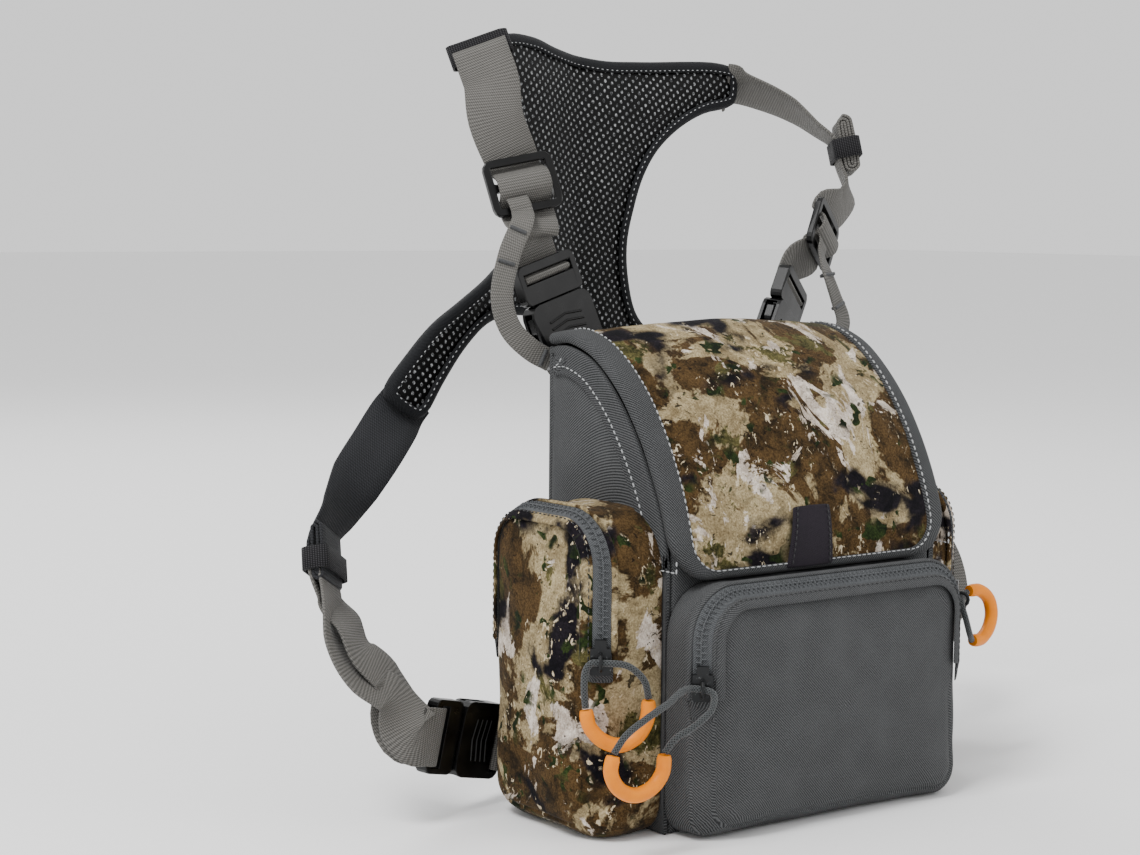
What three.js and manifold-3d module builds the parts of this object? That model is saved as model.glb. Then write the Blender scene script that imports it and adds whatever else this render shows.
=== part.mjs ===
// A binocular harness pack: a chest pack with a flap lid, three zipped pockets and a four-strap harness.
// Millimetres, +Z up. The pack's back face lies in the plane y = 0 and faces the wearer along +Y.
// Everything is laid out from the pack's underside, and the group is then lowered so that the origin
// is the centre of the back face.
import * as THREE from "three";
import { mergeVertices } from "three/addons/utils/BufferGeometryUtils.js";
import Module from "manifold-3d";

const wasm = await Module();
wasm.setup();

// ---- driving dimensions ----
const PACK_WIDTH = 158;
const PACK_DEPTH = 82;
const PACK_HEIGHT = 204;
const SKIN = 3;
const GAP = 0.3;
const BASE_PAD_THICKNESS = 5;
const FRONT_PANEL_HEIGHT = 123;
const POCKET_WALL = 2.5;

const FRONT_POCKET_HEIGHT = 106;
const FRONT_POCKET_DEPTH = 24;
const LEFT_POCKET_DEPTH = 36;
const RIGHT_POCKET_DEPTH = 29;
const SIDE_POCKET_HEIGHT = 137;
const SIDE_POCKET_BACK = -6;
const LEFT_POCKET_FRONT = -81;
const RIGHT_POCKET_FRONT = -73;

const LID_THICKNESS = 4;
const LID_EDGE_WIDTH = 10;
const LID_CORNER_RADIUS = 20;
const LID_INNER_RADIUS = 13;
const LID_HEM_WIDTH = 3.5;
const LID_LOWER_EDGE = 107.5;

const ZIP_THICKNESS = 1.2;
const FRONT_ZIP_END = 60;
const SIDE_ZIP_END = 76;

const WEBBING_WIDTH = 25;
const WEBBING_THICKNESS = 1.4;
const TETHER_WIDTH = 10;
const TETHER_THICKNESS = 1.2;
const YOKE_THICKNESS = 6;
const YOKE_BACK = 80;

const CORD_DIAMETER = 3;
const GRIP_DIAMETER = 6;

const HALF_WIDTH = PACK_WIDTH / 2;
const INNER_HALF_WIDTH = HALF_WIDTH - SKIN - GAP;

// The lid's outer surface, from its hinge at the top of the back, over the crown, to its lower edge.
const LID_PROFILE = [
  [-0.5, 205.5],
  [-16, 206.5],
  [-35, 200],
  [-52, 186.5],
  [-67, 168],
  [-78, 148],
  [-86, 127],
  [-89, LID_LOWER_EDGE],
];

// ---- materials ----
function cloth(color) {
  return new THREE.MeshStandardMaterial({ color, roughness: 0.9, metalness: 0 });
}

const GREY_CLOTH = 0x4c4e50;
const CAMO_CLOTH = 0x8a7c5c;
const WEBBING_GREY = 0x6a6865;
const BLACK_MESH = 0x17181a;
const ELASTIC_GREY = 0x55565a;
const BLACK_PLASTIC = 0x0c0c0d;
const ORANGE_RUBBER = 0xf07a26;
const CORD_GREY = 0x3c3f40;

function plastic(color) {
  return new THREE.MeshStandardMaterial({ color, roughness: 0.3, metalness: 0 });
}

function magnetSteel() {
  return new THREE.MeshStandardMaterial({ color: 0x9a9a9a, roughness: 0.4, metalness: 1 });
}

// ---- solids ----
const group = new THREE.Group();

function addPart(name, geometry, material) {
  const mesh = new THREE.Mesh(geometry, material);
  mesh.name = name;
  group.add(mesh);
  return mesh;
}

// Positions and triangles as a geometry whose faces point out.
function outwardGeometry(points, triangles) {
  let sixVolumes = 0;
  for (const [a, b, c] of triangles) {
    sixVolumes += points[a].dot(points[b].clone().cross(points[c]));
  }
  const facing = sixVolumes < 0 ? triangles.map(([a, b, c]) => [a, c, b]) : triangles;
  const geometry = new THREE.BufferGeometry();
  const coordinates = points.flatMap((point) => point.toArray());
  geometry.setAttribute("position", new THREE.Float32BufferAttribute(coordinates, 3));
  geometry.setIndex(facing.flat());
  return geometry;
}

// A closed body through rings of equally many points, capped at both ends.
function loft(rings) {
  const count = rings[0].length;
  const triangles = [];
  for (let ring = 0; ring < rings.length - 1; ring++) {
    for (let i = 0; i < count; i++) {
      const here = ring * count + i;
      const beside = ring * count + ((i + 1) % count);
      triangles.push([here, beside, beside + count]);
      triangles.push([here, beside + count, here + count]);
    }
  }
  const lastRing = (rings.length - 1) * count;
  for (let i = 1; i < count - 1; i++) {
    triangles.push([0, i + 1, i]);
    triangles.push([lastRing, lastRing + i, lastRing + i + 1]);
  }
  return outwardGeometry(rings.flat(), triangles);
}

function solidOf(geometry) {
  const bare = new THREE.BufferGeometry();
  bare.setAttribute("position", geometry.getAttribute("position"));
  bare.setIndex(geometry.getIndex());
  const merged = mergeVertices(bare, 1e-4);
  return new wasm.Manifold(
    new wasm.Mesh({
      numProp: 3,
      vertProperties: new Float32Array(merged.getAttribute("position").array),
      triVerts: new Uint32Array(merged.getIndex().array),
    }),
  );
}

function geometryOf(solid) {
  const mesh = solid.getMesh();
  const geometry = new THREE.BufferGeometry();
  geometry.setAttribute("position", new THREE.Float32BufferAttribute(mesh.vertProperties, 3));
  geometry.setIndex(Array.from(mesh.triVerts));
  return geometry;
}

function cut(geometry, ...tools) {
  return geometryOf(tools.reduce((solid, tool) => solid.subtract(solidOf(tool)), solidOf(geometry)));
}

function join(geometry, ...others) {
  return geometryOf(others.reduce((solid, other) => solid.add(solidOf(other)), solidOf(geometry)));
}

function box(xRange, yRange, zRange, columns = 1, rows = 1) {
  const size = [xRange, yRange, zRange].map(([low, high]) => high - low);
  const centre = [xRange, yRange, zRange].map(([low, high]) => (low + high) / 2);
  return new THREE.BoxGeometry(...size, columns, 1, rows).translate(...centre);
}

// A rounded rectangle, counter-clockwise from its lower right corner, as [u, v] pairs.
function roundedOutline([left, right], [low, high], lowRadius, highRadius, cornerSteps = 4) {
  const corners = [
    [right - lowRadius, low + lowRadius, lowRadius, -90],
    [right - highRadius, high - highRadius, highRadius, 0],
    [left + highRadius, high - highRadius, highRadius, 90],
    [left + lowRadius, low + lowRadius, lowRadius, 180],
  ];
  return corners.flatMap(([u, v, radius, startDegrees]) =>
    Array.from({ length: cornerSteps + 1 }, (_, step) => {
      const angle = THREE.MathUtils.degToRad(startDegrees + (90 * step) / cornerSteps);
      return [u + radius * Math.cos(angle), v + radius * Math.sin(angle)];
    }),
  );
}

// A frame whose X runs across a strap, Z along it, and Y through its thickness.
function strapFrame(position, across, along) {
  const z = new THREE.Vector3(...along).normalize();
  const x = new THREE.Vector3(...across);
  x.addScaledVector(z, -x.dot(z)).normalize();
  const y = new THREE.Vector3().crossVectors(z, x);
  return new THREE.Matrix4().makeBasis(x, y, z).setPosition(...position);
}

// A flat band along a smooth route. Each stop holds a place on the centre line and the direction across.
function ribbon(stops, width, thickness, stepsPerStop = 3) {
  const centreLine = new THREE.CatmullRomCurve3(
    stops.map(([place]) => new THREE.Vector3(...place)),
    false,
    "centripetal",
  );
  const steps = (stops.length - 1) * stepsPerStop;
  const rings = Array.from({ length: steps + 1 }, (_, step) => {
    const t = step / steps;
    const stop = Math.min(Math.floor(t * (stops.length - 1)), stops.length - 2);
    const blend = t * (stops.length - 1) - stop;
    const tangent = centreLine.getTangent(t);
    const across = new THREE.Vector3(...stops[stop][1]).lerp(new THREE.Vector3(...stops[stop + 1][1]), blend);
    across.addScaledVector(tangent, -across.dot(tangent)).normalize();
    const normal = new THREE.Vector3().crossVectors(tangent, across);
    const centre = centreLine.getPoint(t);
    const corners = [[-0.5, -0.5], [0.5, -0.5], [0.5, 0.5], [-0.5, 0.5]];
    return corners.map(([u, v]) =>
      centre.clone().addScaledVector(across, u * width).addScaledVector(normal, v * thickness),
    );
  });
  return loft(rings);
}

// A round tube along a smooth route.
function tube(places, diameter, steps) {
  const route = new THREE.CatmullRomCurve3(places.map((place) => new THREE.Vector3(...place)));
  const section = new THREE.Shape();
  section.absarc(0, 0, diameter / 2, 0, Math.PI * 2);
  return new THREE.ExtrudeGeometry(section, { extrudePath: route, steps, curveSegments: 4 });
}

// ---- pack body ----
const profileCurve = new THREE.SplineCurve(LID_PROFILE.map(([y, z]) => new THREE.Vector2(y, z)));
const LID_STEPS = 16;

// The lid's profile moved inwards, from the hinge to the lower edge.
function offsetProfile(distance) {
  return Array.from({ length: LID_STEPS + 1 }, (_, step) => {
    const t = step / LID_STEPS;
    const tangent = profileCurve.getTangent(t);
    const inward = new THREE.Vector2(-tangent.y, tangent.x);
    return profileCurve.getPoint(t).addScaledVector(inward, distance);
  });
}

// A side panel follows the lid's curve, set in far enough to leave the lid free.
function sidePanel(side) {
  const clearOfLid = LID_THICKNESS + 2.5;
  const back = -SKIN - GAP;
  const top = offsetProfile(clearOfLid).filter((point) => point.x < back - 4 && point.x > -PACK_DEPTH);
  const outline = new THREE.Shape();
  outline.moveTo(back, 0);
  outline.lineTo(back, PACK_HEIGHT - clearOfLid);
  top.forEach((point) => outline.lineTo(point.x, point.y));
  outline.lineTo(-PACK_DEPTH, 118);
  outline.lineTo(-PACK_DEPTH, 0);
  const panel = new THREE.ExtrudeGeometry(outline, { depth: SKIN, bevelEnabled: false });
  const axes = new THREE.Matrix4().makeBasis(
    new THREE.Vector3(0, 1, 0),
    new THREE.Vector3(0, 0, 1),
    new THREE.Vector3(1, 0, 0),
  );
  panel.applyMatrix4(axes);
  return panel.translate(side < 0 ? -HALF_WIDTH : HALF_WIDTH - SKIN, 0, 0);
}

function addBody() {
  const behindBase = -SKIN - GAP;
  const inFrontOfBase = -PACK_DEPTH + SKIN + GAP;
  addPart(
    "back_panel",
    box([-HALF_WIDTH, HALF_WIDTH], [-SKIN, 0], [0, PACK_HEIGHT - LID_THICKNESS + 0.5], 3, 3),
    cloth(GREY_CLOTH),
  );
  addPart("left_side_panel", sidePanel(-1), cloth(GREY_CLOTH));
  addPart("right_side_panel", sidePanel(1), cloth(GREY_CLOTH));
  const front = box(
    [-INNER_HALF_WIDTH, INNER_HALF_WIDTH],
    [-PACK_DEPTH, -PACK_DEPTH + SKIN],
    [0, FRONT_PANEL_HEIGHT],
  );
  addPart("front_panel", cut(front, bodyMagnetRecess()), cloth(GREY_CLOTH));
  addPart(
    "base_panel",
    box([-INNER_HALF_WIDTH, INNER_HALF_WIDTH], [inFrontOfBase, behindBase], [0, SKIN]),
    cloth(GREY_CLOTH),
  );
  const padBottom = SKIN + GAP;
  addPart(
    "base_pad",
    box(
      [-INNER_HALF_WIDTH + 1, INNER_HALF_WIDTH - 1],
      [inFrontOfBase + 1, behindBase - 1],
      [padBottom, padBottom + BASE_PAD_THICKNESS],
    ),
    cloth(BLACK_MESH),
  );
}

// ---- pockets and zips ----
// A pocket stands out from its panel in steps: how far out, and how far the outline is drawn in there.
function pocketSteps(depth, chamferStart) {
  return [
    [GAP, 0],
    [chamferStart, 0.5],
    [depth - 1.5, 9],
    [depth, 16],
  ];
}

function frontPocketRing([out, inset], wall, cornerSteps) {
  const outline = roundedOutline(
    [-HALF_WIDTH + wall + inset, HALF_WIDTH - wall - inset],
    [wall + inset * 0.6, FRONT_POCKET_HEIGHT - wall - inset * 0.8],
    Math.max(12 - inset * 0.3, 3),
    Math.max(22 - inset * 0.8, 6),
    cornerSteps,
  );
  return outline.map(([x, z]) => new THREE.Vector3(x, -PACK_DEPTH - out, z));
}

function sidePocketRing(side, front, [out, inset], wall, cornerSteps) {
  const outline = roundedOutline(
    [front + wall + inset * 0.8, SIDE_POCKET_BACK - wall - inset * 0.6],
    [wall + inset * 0.6, SIDE_POCKET_HEIGHT - wall - inset * 0.6],
    Math.max(14 - inset * 0.3, 3),
    Math.max(26 - inset, 6),
    cornerSteps,
  );
  return outline.map(([y, z]) => new THREE.Vector3(side * (HALF_WIDTH + out), y, z));
}

// The shell of a pocket, open towards the panel that it is sewn to.
function pocketShell(steps, ringAt) {
  const outer = steps.map((step) => ringAt(step, 0, 4));
  const inner = steps.map(([out, inset], index) => {
    const isRim = index === 0;
    return ringAt([isRim ? out - 1 : out - POCKET_WALL, inset], POCKET_WALL, 4);
  });
  return cut(loft(outer), loft(inner));
}

// The zip lies on the pocket's chamfer: up one side, over the top and down the other.
function pocketZip(steps, ringAt, zipEnd) {
  const arch = (step) => {
    const ring = ringAt(step, 0, 8);
    const top = ring.slice(9, 27);
    const lower = (point) => new THREE.Vector3(point.x, point.y, zipEnd);
    return [lower(top[0]), ...top, lower(top[top.length - 1])];
  };
  const outerEdge = arch(steps[1]);
  const innerEdge = arch(steps[2]);
  const middle = new THREE.Vector3();
  outerEdge.forEach((point) => middle.add(point));
  middle.divideScalar(outerEdge.length);
  const rings = outerEdge.map((outer, index) => {
    const inner = innerEdge[index];
    const across = inner.clone().sub(outer);
    const before = outerEdge[Math.max(index - 1, 0)];
    const after = outerEdge[Math.min(index + 1, outerEdge.length - 1)];
    const normal = new THREE.Vector3().crossVectors(after.clone().sub(before), across).normalize();
    if (normal.dot(outer.clone().sub(middle)) < 0) {
      normal.negate();
    }
    const low = 0.6;
    const high = low + ZIP_THICKNESS;
    return [
      outer.clone().addScaledVector(across, 0.02).addScaledVector(normal, low),
      outer.clone().addScaledVector(across, 0.9).addScaledVector(normal, low),
      outer.clone().addScaledVector(across, 0.9).addScaledVector(normal, high),
      outer.clone().addScaledVector(across, 0.02).addScaledVector(normal, high),
    ];
  });
  return loft(rings);
}

function addPockets() {
  const frontSteps = pocketSteps(FRONT_POCKET_DEPTH, FRONT_POCKET_DEPTH - 9);
  addPart("front_pocket", pocketShell(frontSteps, frontPocketRing), cloth(GREY_CLOTH));
  addPart("front_zip", pocketZip(frontSteps, frontPocketRing, FRONT_ZIP_END), cloth(GREY_CLOTH));
  const sides = [
    ["left", -1, LEFT_POCKET_DEPTH, LEFT_POCKET_FRONT],
    ["right", 1, RIGHT_POCKET_DEPTH, RIGHT_POCKET_FRONT],
  ];
  for (const [name, side, depth, front] of sides) {
    const steps = pocketSteps(depth, depth - 10);
    const ringAt = (step, wall, cornerSteps) => sidePocketRing(side, front, step, wall, cornerSteps);
    addPart(`${name}_pocket`, pocketShell(steps, ringAt), cloth(CAMO_CLOTH));
    addPart(`${name}_zip`, pocketZip(steps, ringAt, SIDE_ZIP_END), cloth(GREY_CLOTH));
  }
}

// ---- lid ----
const LID_ROWS = 20;

// A point of the lid: across the pack, along the profile from 0 at the hinge to 1, and in from the outside.
function lidPoint(x, along, inside) {
  const tangent = profileCurve.getTangentAt(along);
  const place = profileCurve.getPointAt(along);
  return new THREE.Vector3(x, place.x - tangent.y * inside, place.y + tangent.x * inside);
}

const LID_LENGTH = profileCurve.getLength();

// Half the lid panel's width at a distance from the hinge, drawn in round its two lower corners.
function lidPanelHalfWidth(distance, length) {
  const radius = LID_INNER_RADIUS - GAP;
  const past = Math.max(distance - (length - radius), 0);
  return HALF_WIDTH - LID_EDGE_WIDTH - GAP - radius + Math.sqrt(Math.max(radius * radius - past * past, 0));
}

function lidPanel() {
  const length = LID_LENGTH - LID_HEM_WIDTH - GAP;
  const columns = 6;
  const rings = Array.from({ length: LID_ROWS + 1 }, (_, row) => {
    const distance = length * Math.sin((Math.PI / 2) * (row / LID_ROWS)) * 0.999;
    const half = lidPanelHalfWidth(distance, length);
    const along = distance / LID_LENGTH;
    const outside = [];
    const inside = [];
    for (let column = 0; column <= columns; column++) {
      const x = half * ((2 * column) / columns - 1);
      outside.push(lidPoint(x, along, 0));
      inside.unshift(lidPoint(x, along, LID_THICKNESS));
    }
    return [...outside, ...inside];
  });
  return loft(rings);
}

// One edge of the binding: down the left side, round the lower corners and up the right side.
function lidEdge(sideInset, endInset, radius) {
  const side = HALF_WIDTH - sideInset;
  const straight = LID_LENGTH - endInset - radius;
  const rows = 14;
  const down = Array.from({ length: rows }, (_, row) => [-side, (straight * row) / rows]);
  const corner = Array.from({ length: 7 }, (_, step) => {
    const angle = (step * Math.PI) / 12;
    return [-side + radius * (1 - Math.cos(angle)), straight + radius * Math.sin(angle)];
  });
  const left = [...down, ...corner];
  const right = left.map(([x, distance]) => [-x, distance]).reverse();
  return [...left, ...right];
}

function lidBinding() {
  const outer = lidEdge(0, 0, LID_CORNER_RADIUS);
  const inner = lidEdge(LID_EDGE_WIDTH, LID_HEM_WIDTH, LID_INNER_RADIUS);
  const under = LID_THICKNESS + 0.5;
  const over = -0.5;
  const rings = outer.map(([outX, outDistance], index) => {
    const [inX, inDistance] = inner[index];
    const at = (x, distance, inside) => lidPoint(x, distance / LID_LENGTH, inside);
    return [
      at(inX, inDistance, over),
      at(outX, outDistance, over),
      at(outX, outDistance, under),
      at(inX, inDistance, under),
    ];
  });
  return loft(rings);
}

// The pull tab is sewn over the lid's lower edge, left of the middle.
const TAB_CENTRE = -4;
function lidPullTab() {
  const rows = [0.82, 0.87, 0.92, 0.96, 0.995].map((along, row) => {
    const left = TAB_CENTRE - 9.5 - row * 1.8;
    const right = TAB_CENTRE + 12 - row * 0.3;
    const low = -0.8;
    const high = -2.2;
    return [
      lidPoint(left, along, low),
      lidPoint(right, along, low),
      lidPoint(right, along, high),
      lidPoint(left, along, high),
    ];
  });
  return loft(rows);
}

// A pair of magnets holds the lid down: one in the front panel and one in the lid, each in a recess.
const MAGNET_RADIUS = 5.5;
const MAGNET_THICKNESS = 1.2;
const MAGNET_HEIGHT = 116.5;
const BODY_MAGNET_FACE = -PACK_DEPTH + GAP;
const LID_MAGNET_FACE = -PACK_DEPTH - 2.8;

function disc(radius, [front, back]) {
  const solid = new THREE.CylinderGeometry(radius, radius, back - front, 16);
  return solid.translate(TAB_CENTRE, (front + back) / 2, MAGNET_HEIGHT);
}

function magnets() {
  return {
    body_magnet: disc(MAGNET_RADIUS, [BODY_MAGNET_FACE, BODY_MAGNET_FACE + MAGNET_THICKNESS]),
    lid_magnet: disc(MAGNET_RADIUS, [LID_MAGNET_FACE - MAGNET_THICKNESS, LID_MAGNET_FACE]),
  };
}

function bodyMagnetRecess() {
  return disc(MAGNET_RADIUS + GAP, [-PACK_DEPTH - 1, BODY_MAGNET_FACE + MAGNET_THICKNESS + GAP]);
}

function lidMagnetRecess() {
  return disc(MAGNET_RADIUS + GAP, [LID_MAGNET_FACE - MAGNET_THICKNESS - GAP, -PACK_DEPTH]);
}

function addLid() {
  addPart("lid_panel", cut(lidPanel(), lidMagnetRecess()), cloth(CAMO_CLOTH));
  addPart("lid_binding", lidBinding(), cloth(GREY_CLOTH));
  addPart("lid_pull_tab", lidPullTab(), cloth(0x2a2330));
}

// ---- zip sliders and pulls ----
// A slider sits on the zip, facing outwards, and its bridge holds the pull cord.
function slider() {
  const body = new THREE.BoxGeometry(8.5, 3, 11).translate(0, -1.5, 0);
  const nose = new THREE.BoxGeometry(5, 3, 4).translate(0, -1.5, 7);
  const bridge = new THREE.TorusGeometry(3.2, 0.9, 6, 12).rotateY(Math.PI / 2).translate(0, -4.6, 0);
  return join(body, nose, bridge);
}

// Each pull: where the slider sits, which way it faces, and the routes of its cord and of its grip.
const PULLS = [
  {
    name: "front",
    place: [-75.8, -102.4, 66],
    facing: [-0.66, -0.75, 0],
    cord: [
      [-124, -105, 45.5],
      [-119, -106, 52],
      [-109, -107, 58],
      [-97, -106, 62.5],
      [-88, -103.5, 65.8],
      [-83, -102.7, 66.3],
      [-79, -106.1, 66],
      [-76.2, -109.4, 64.5],
      [-79, -112, 59],
      [-87, -111, 53],
      [-95, -108, 48],
      [-98, -105.5, 42.5],
    ],
    grip: [
      [-124.4, -105, 44.5],
      [-125.5, -105, 38],
      [-121.5, -105, 31],
      [-113, -105, 27],
      [-104, -105, 29],
      [-99, -105.2, 34.5],
      [-98.3, -105.5, 41.5],
    ],
  },
  {
    name: "left",
    place: [-110.6, -78.9, 77],
    facing: [-0.62, -0.78, 0],
    cord: [
      [-119.3, -80.5, 59],
      [-120, -80.3, 67],
      [-118.8, -79.6, 74],
      [-116.6, -80.6, 77],
      [-113.6, -82.7, 77],
      [-110.5, -85.4, 77],
      [-105, -90, 76],
      [-99.5, -93.6, 70],
      [-97, -93.4, 62.5],
    ],
    grip: [
      [-119.2, -80.6, 58],
      [-118.2, -81.6, 51.5],
      [-113.5, -84.4, 45.5],
      [-107, -87.3, 43.2],
      [-100.5, -90.6, 46.5],
      [-97.2, -92.8, 53.5],
      [-96.9, -93.4, 61.5],
    ],
  },
  {
    name: "right",
    place: [103.6, -70.9, 81],
    facing: [0.62, -0.78, 0],
    cord: [
      [114, -71.2, 83.5],
      [110.4, -71.8, 82],
      [106.6, -74.7, 81],
      [103.4, -77.8, 79],
      [103.6, -80, 73.5],
      [107.5, -79, 66],
      [113.5, -75, 61.2],
    ],
    grip: [
      [115, -71.2, 83.8],
      [122, -71, 83.5],
      [128.6, -71, 79],
      [130.6, -71.4, 72],
      [128, -72.2, 65.2],
      [122, -73.2, 60.8],
      [114.6, -74.6, 60.8],
    ],
  },
];

function addPulls() {
  for (const { name, place, facing, cord, grip } of PULLS) {
    const outward = new THREE.Vector3(...facing).normalize();
    const frame = strapFrame(place, [-outward.y, outward.x, 0], [0, 0, 1]);
    addPart(`${name}_slider`, slider().applyMatrix4(frame), plastic(CORD_GREY));
    addPart(`${name}_pull_cord`, tube(cord, CORD_DIAMETER, 36), cloth(CORD_GREY));
    addPart(`${name}_pull_grip`, tube(grip, GRIP_DIAMETER, 18), plastic(ORANGE_RUBBER));
  }
}

// ---- buckles and triglides, each in its own frame: X across, Y through, Z along the strap ----

// A flat slab with rounded corners, through its thickness along Y.
function roundedSlab(xRange, zRange, thickness, radius) {
  const outline = roundedOutline(xRange, zRange, radius, radius, 3);
  const faces = [-thickness / 2, thickness / 2];
  return loft(faces.map((y) => outline.map(([x, z]) => new THREE.Vector3(x, y, z))));
}

const BUCKLE_HALF = 16.5;
const SOCKET_LENGTH = 30;
const SOCKET_THICKNESS = 9;
const PLUG_LENGTH = 18;
const PLUG_THICKNESS = 6;
const SLOT_HALF = 13.2;

// The socket's mouth is at z = 0, and its webbing slot is at its lower end.
function buckleSocket() {
  const shell = roundedSlab([-BUCKLE_HALF, BUCKLE_HALF], [-SOCKET_LENGTH, -GAP], SOCKET_THICKNESS, 5);
  const cavity = box([-13.6, 13.6], [-2.8, 2.8], [-21, 1]);
  const windows = box([-BUCKLE_HALF - 1, BUCKLE_HALF + 1], [-2.8, 2.8], [-16, -3.2]);
  const slot = box([-SLOT_HALF, SLOT_HALF], [-SOCKET_THICKNESS, SOCKET_THICKNESS], [-27.4, -23.4]);
  return cut(shell, cavity, windows, slot);
}

// The plug's frame holds the strap above the socket's mouth, and its tongue guides it inside.
function buckleFrame() {
  const half = BUCKLE_HALF - 0.5;
  const base = roundedSlab([-half, half], [0, PLUG_LENGTH], PLUG_THICKNESS, 3);
  const slot = box([-SLOT_HALF, SLOT_HALF], [-PLUG_THICKNESS, PLUG_THICKNESS], [9, 14]);
  const tongue = box([-3, 3], [-1.8, 1.8], [-14, 1]);
  return join(cut(base, slot), tongue);
}

// One of the plug's two sprung arms, with its button in the socket's side window.
function buckleProng(side) {
  const outline = [
    [8, -GAP],
    [8, -16],
    [11.5, -18.5],
    [14.5, -13.5],
    [16, -12],
    [16.2, -5.5],
    [11, -4],
    [11, -GAP],
  ];
  const depth = [-2, 2];
  return loft(depth.map((y) => outline.map(([x, z]) => new THREE.Vector3(side * x, y, z))));
}

const TRIGLIDE_HALF = 16.5;
const TRIGLIDE_TALL = 13;
const TRIGLIDE_THICKNESS = 3.2;
const TRIGLIDE_BAR = 1.8;
const TRIGLIDE_RIM = 3.3;

// A frame with a bar across its middle.
function triglide() {
  const plate = roundedSlab(
    [-TRIGLIDE_HALF, TRIGLIDE_HALF],
    [-TRIGLIDE_TALL, TRIGLIDE_TALL],
    TRIGLIDE_THICKNESS,
    4,
  );
  const wide = [-SLOT_HALF, SLOT_HALF];
  const deep = [-TRIGLIDE_THICKNESS, TRIGLIDE_THICKNESS];
  const upper = box(wide, deep, [TRIGLIDE_BAR, TRIGLIDE_TALL - TRIGLIDE_RIM]);
  const lower = box(wide, deep, [TRIGLIDE_RIM - TRIGLIDE_TALL, -TRIGLIDE_BAR]);
  return cut(plate, upper, lower);
}

// An elastic keeper: a short sleeve round a strap and its rolled tail.
function keeper([front, back], height) {
  const half = WEBBING_WIDTH / 2 + 1;
  const wall = 1;
  const outer = box([-half - wall, half + wall], [front - wall, back + wall], [-height / 2, height / 2]);
  const inner = box([-half, half], [front, back], [-height, height]);
  return cut(outer, inner);
}

// The rolled tail of a strap: a flat coil of webbing.
function tailRoll([front, back], zRange) {
  const radius = (back - front) / 2 - 0.2;
  const outline = roundedOutline([front, back], zRange, radius, radius, 3);
  const half = WEBBING_WIDTH / 2;
  return loft([-half, half].map((x) => outline.map(([y, z]) => new THREE.Vector3(x, y, z))));
}

// ---- harness ----

// Each buckle's mouth, the direction across it, and the way up its strap.
const BUCKLES = {
  upper_left: { place: [-66, 14, 221], across: [1, 0, 0.3], up: [-0.3, 0.16, 0.94] },
  upper_right: { place: [78, 19.5, 212], across: [0.75, 0.4, -0.54], up: [0.52, 0.16, 0.84] },
  lower_left: { place: [-131, -3, 34], across: [0.22, 0, 0.97], up: [-0.94, -0.27, 0.22] },
  lower_right: { place: [131, -3, 34], across: [0.22, 0, -0.97], up: [0.94, -0.27, 0.22] },
};

// The triglides on the two upper straps.
const TRIGLIDES = {
  upper_left: { place: [-74, 27, 271], across: [0.95, -0.3, 0.1], up: [-0.1, 0.33, 0.94] },
  upper_right: { place: [109, 25.5, 249], across: [0.75, 0.4, -0.54], up: [0.5, 0.2, 0.84] },
};

// Where an elastic keeper holds each strap's rolled tail.
const KEEPERS = {
  upper_left: { place: [-78, 50, 324], across: [0.8, -0.6, 0.15], up: [-0.2, 0.3, 0.93] },
  upper_right: { place: [137, 40, 291], across: [0.6, 0.8, 0], up: [-0.1, 0.2, 0.97] },
  lower_left: { place: [-178, 30, 108], across: [0.9, 0.35, -0.2], up: [0.18, 0.38, 0.9] },
  lower_right: { place: [178, 30, 108], across: [0.9, -0.35, 0.2], up: [-0.18, 0.38, 0.9] },
};

function frameOf({ place, across, up }) {
  return strapFrame(place, across, up);
}

// A stop on a ribbon, given by its y and z in a fitting's frame.
function stopIn(fitting, y, z) {
  const frame = frameOf(fitting);
  const place = new THREE.Vector3(0, y, z).applyMatrix4(frame);
  const across = new THREE.Vector3().setFromMatrixColumn(frame, 0);
  return [place.toArray(), across.toArray()];
}

// The webbing weaves through a triglide: behind both rims and in front of the middle bar.
const WEAVE = [
  [3.9, 12],
  [3.8, 8.9],
  [0, 5.75],
  [-3.3, 3.2],
  [-4, 0],
  [-3.3, -3.2],
  [0, -5.75],
  [3.8, -8.9],
  [3.9, -12],
];

function weaveStops(fitting) {
  return WEAVE.map(([y, z]) => stopIn(fitting, y, z));
}

const CLEAR_OF_PLUG = PLUG_LENGTH + 0.6;
const KEEPER_HEIGHT = 10;

function webbing(stops, stepsPerStop) {
  return ribbon(stops, WEBBING_WIDTH, WEBBING_THICKNESS, stepsPerStop);
}

// From the yoke the strap folds over at the top, and runs down through the triglide to its buckle.
function upperLeftStrap() {
  const top = KEEPERS.upper_left;
  const stops = [
    [[-66, 60, 311], [0.75, -0.65, 0.1]],
    stopIn(top, 8, -10),
    stopIn(top, 6, -3),
    stopIn(top, 6, 6),
    stopIn(top, 4, 12),
    stopIn(top, -2, 14.5),
    stopIn(top, -7, 11),
    stopIn(top, -8, 4),
    stopIn(top, -8.4, -8),
    [[-81.5, 37, 300], [0.85, -0.5, 0.1]],
    ...weaveStops(TRIGLIDES.upper_left),
    [[-74.2, 18.5, 250], [1, -0.1, 0.1]],
    stopIn(BUCKLES.upper_left, 0, CLEAR_OF_PLUG + 5),
    stopIn(BUCKLES.upper_left, 0, CLEAR_OF_PLUG),
  ];
  const roll = tailRoll([-4.2, 5.6], [-9, 9]).applyMatrix4(frameOf(top));
  return join(webbing(stops, 2), roll);
}

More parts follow.
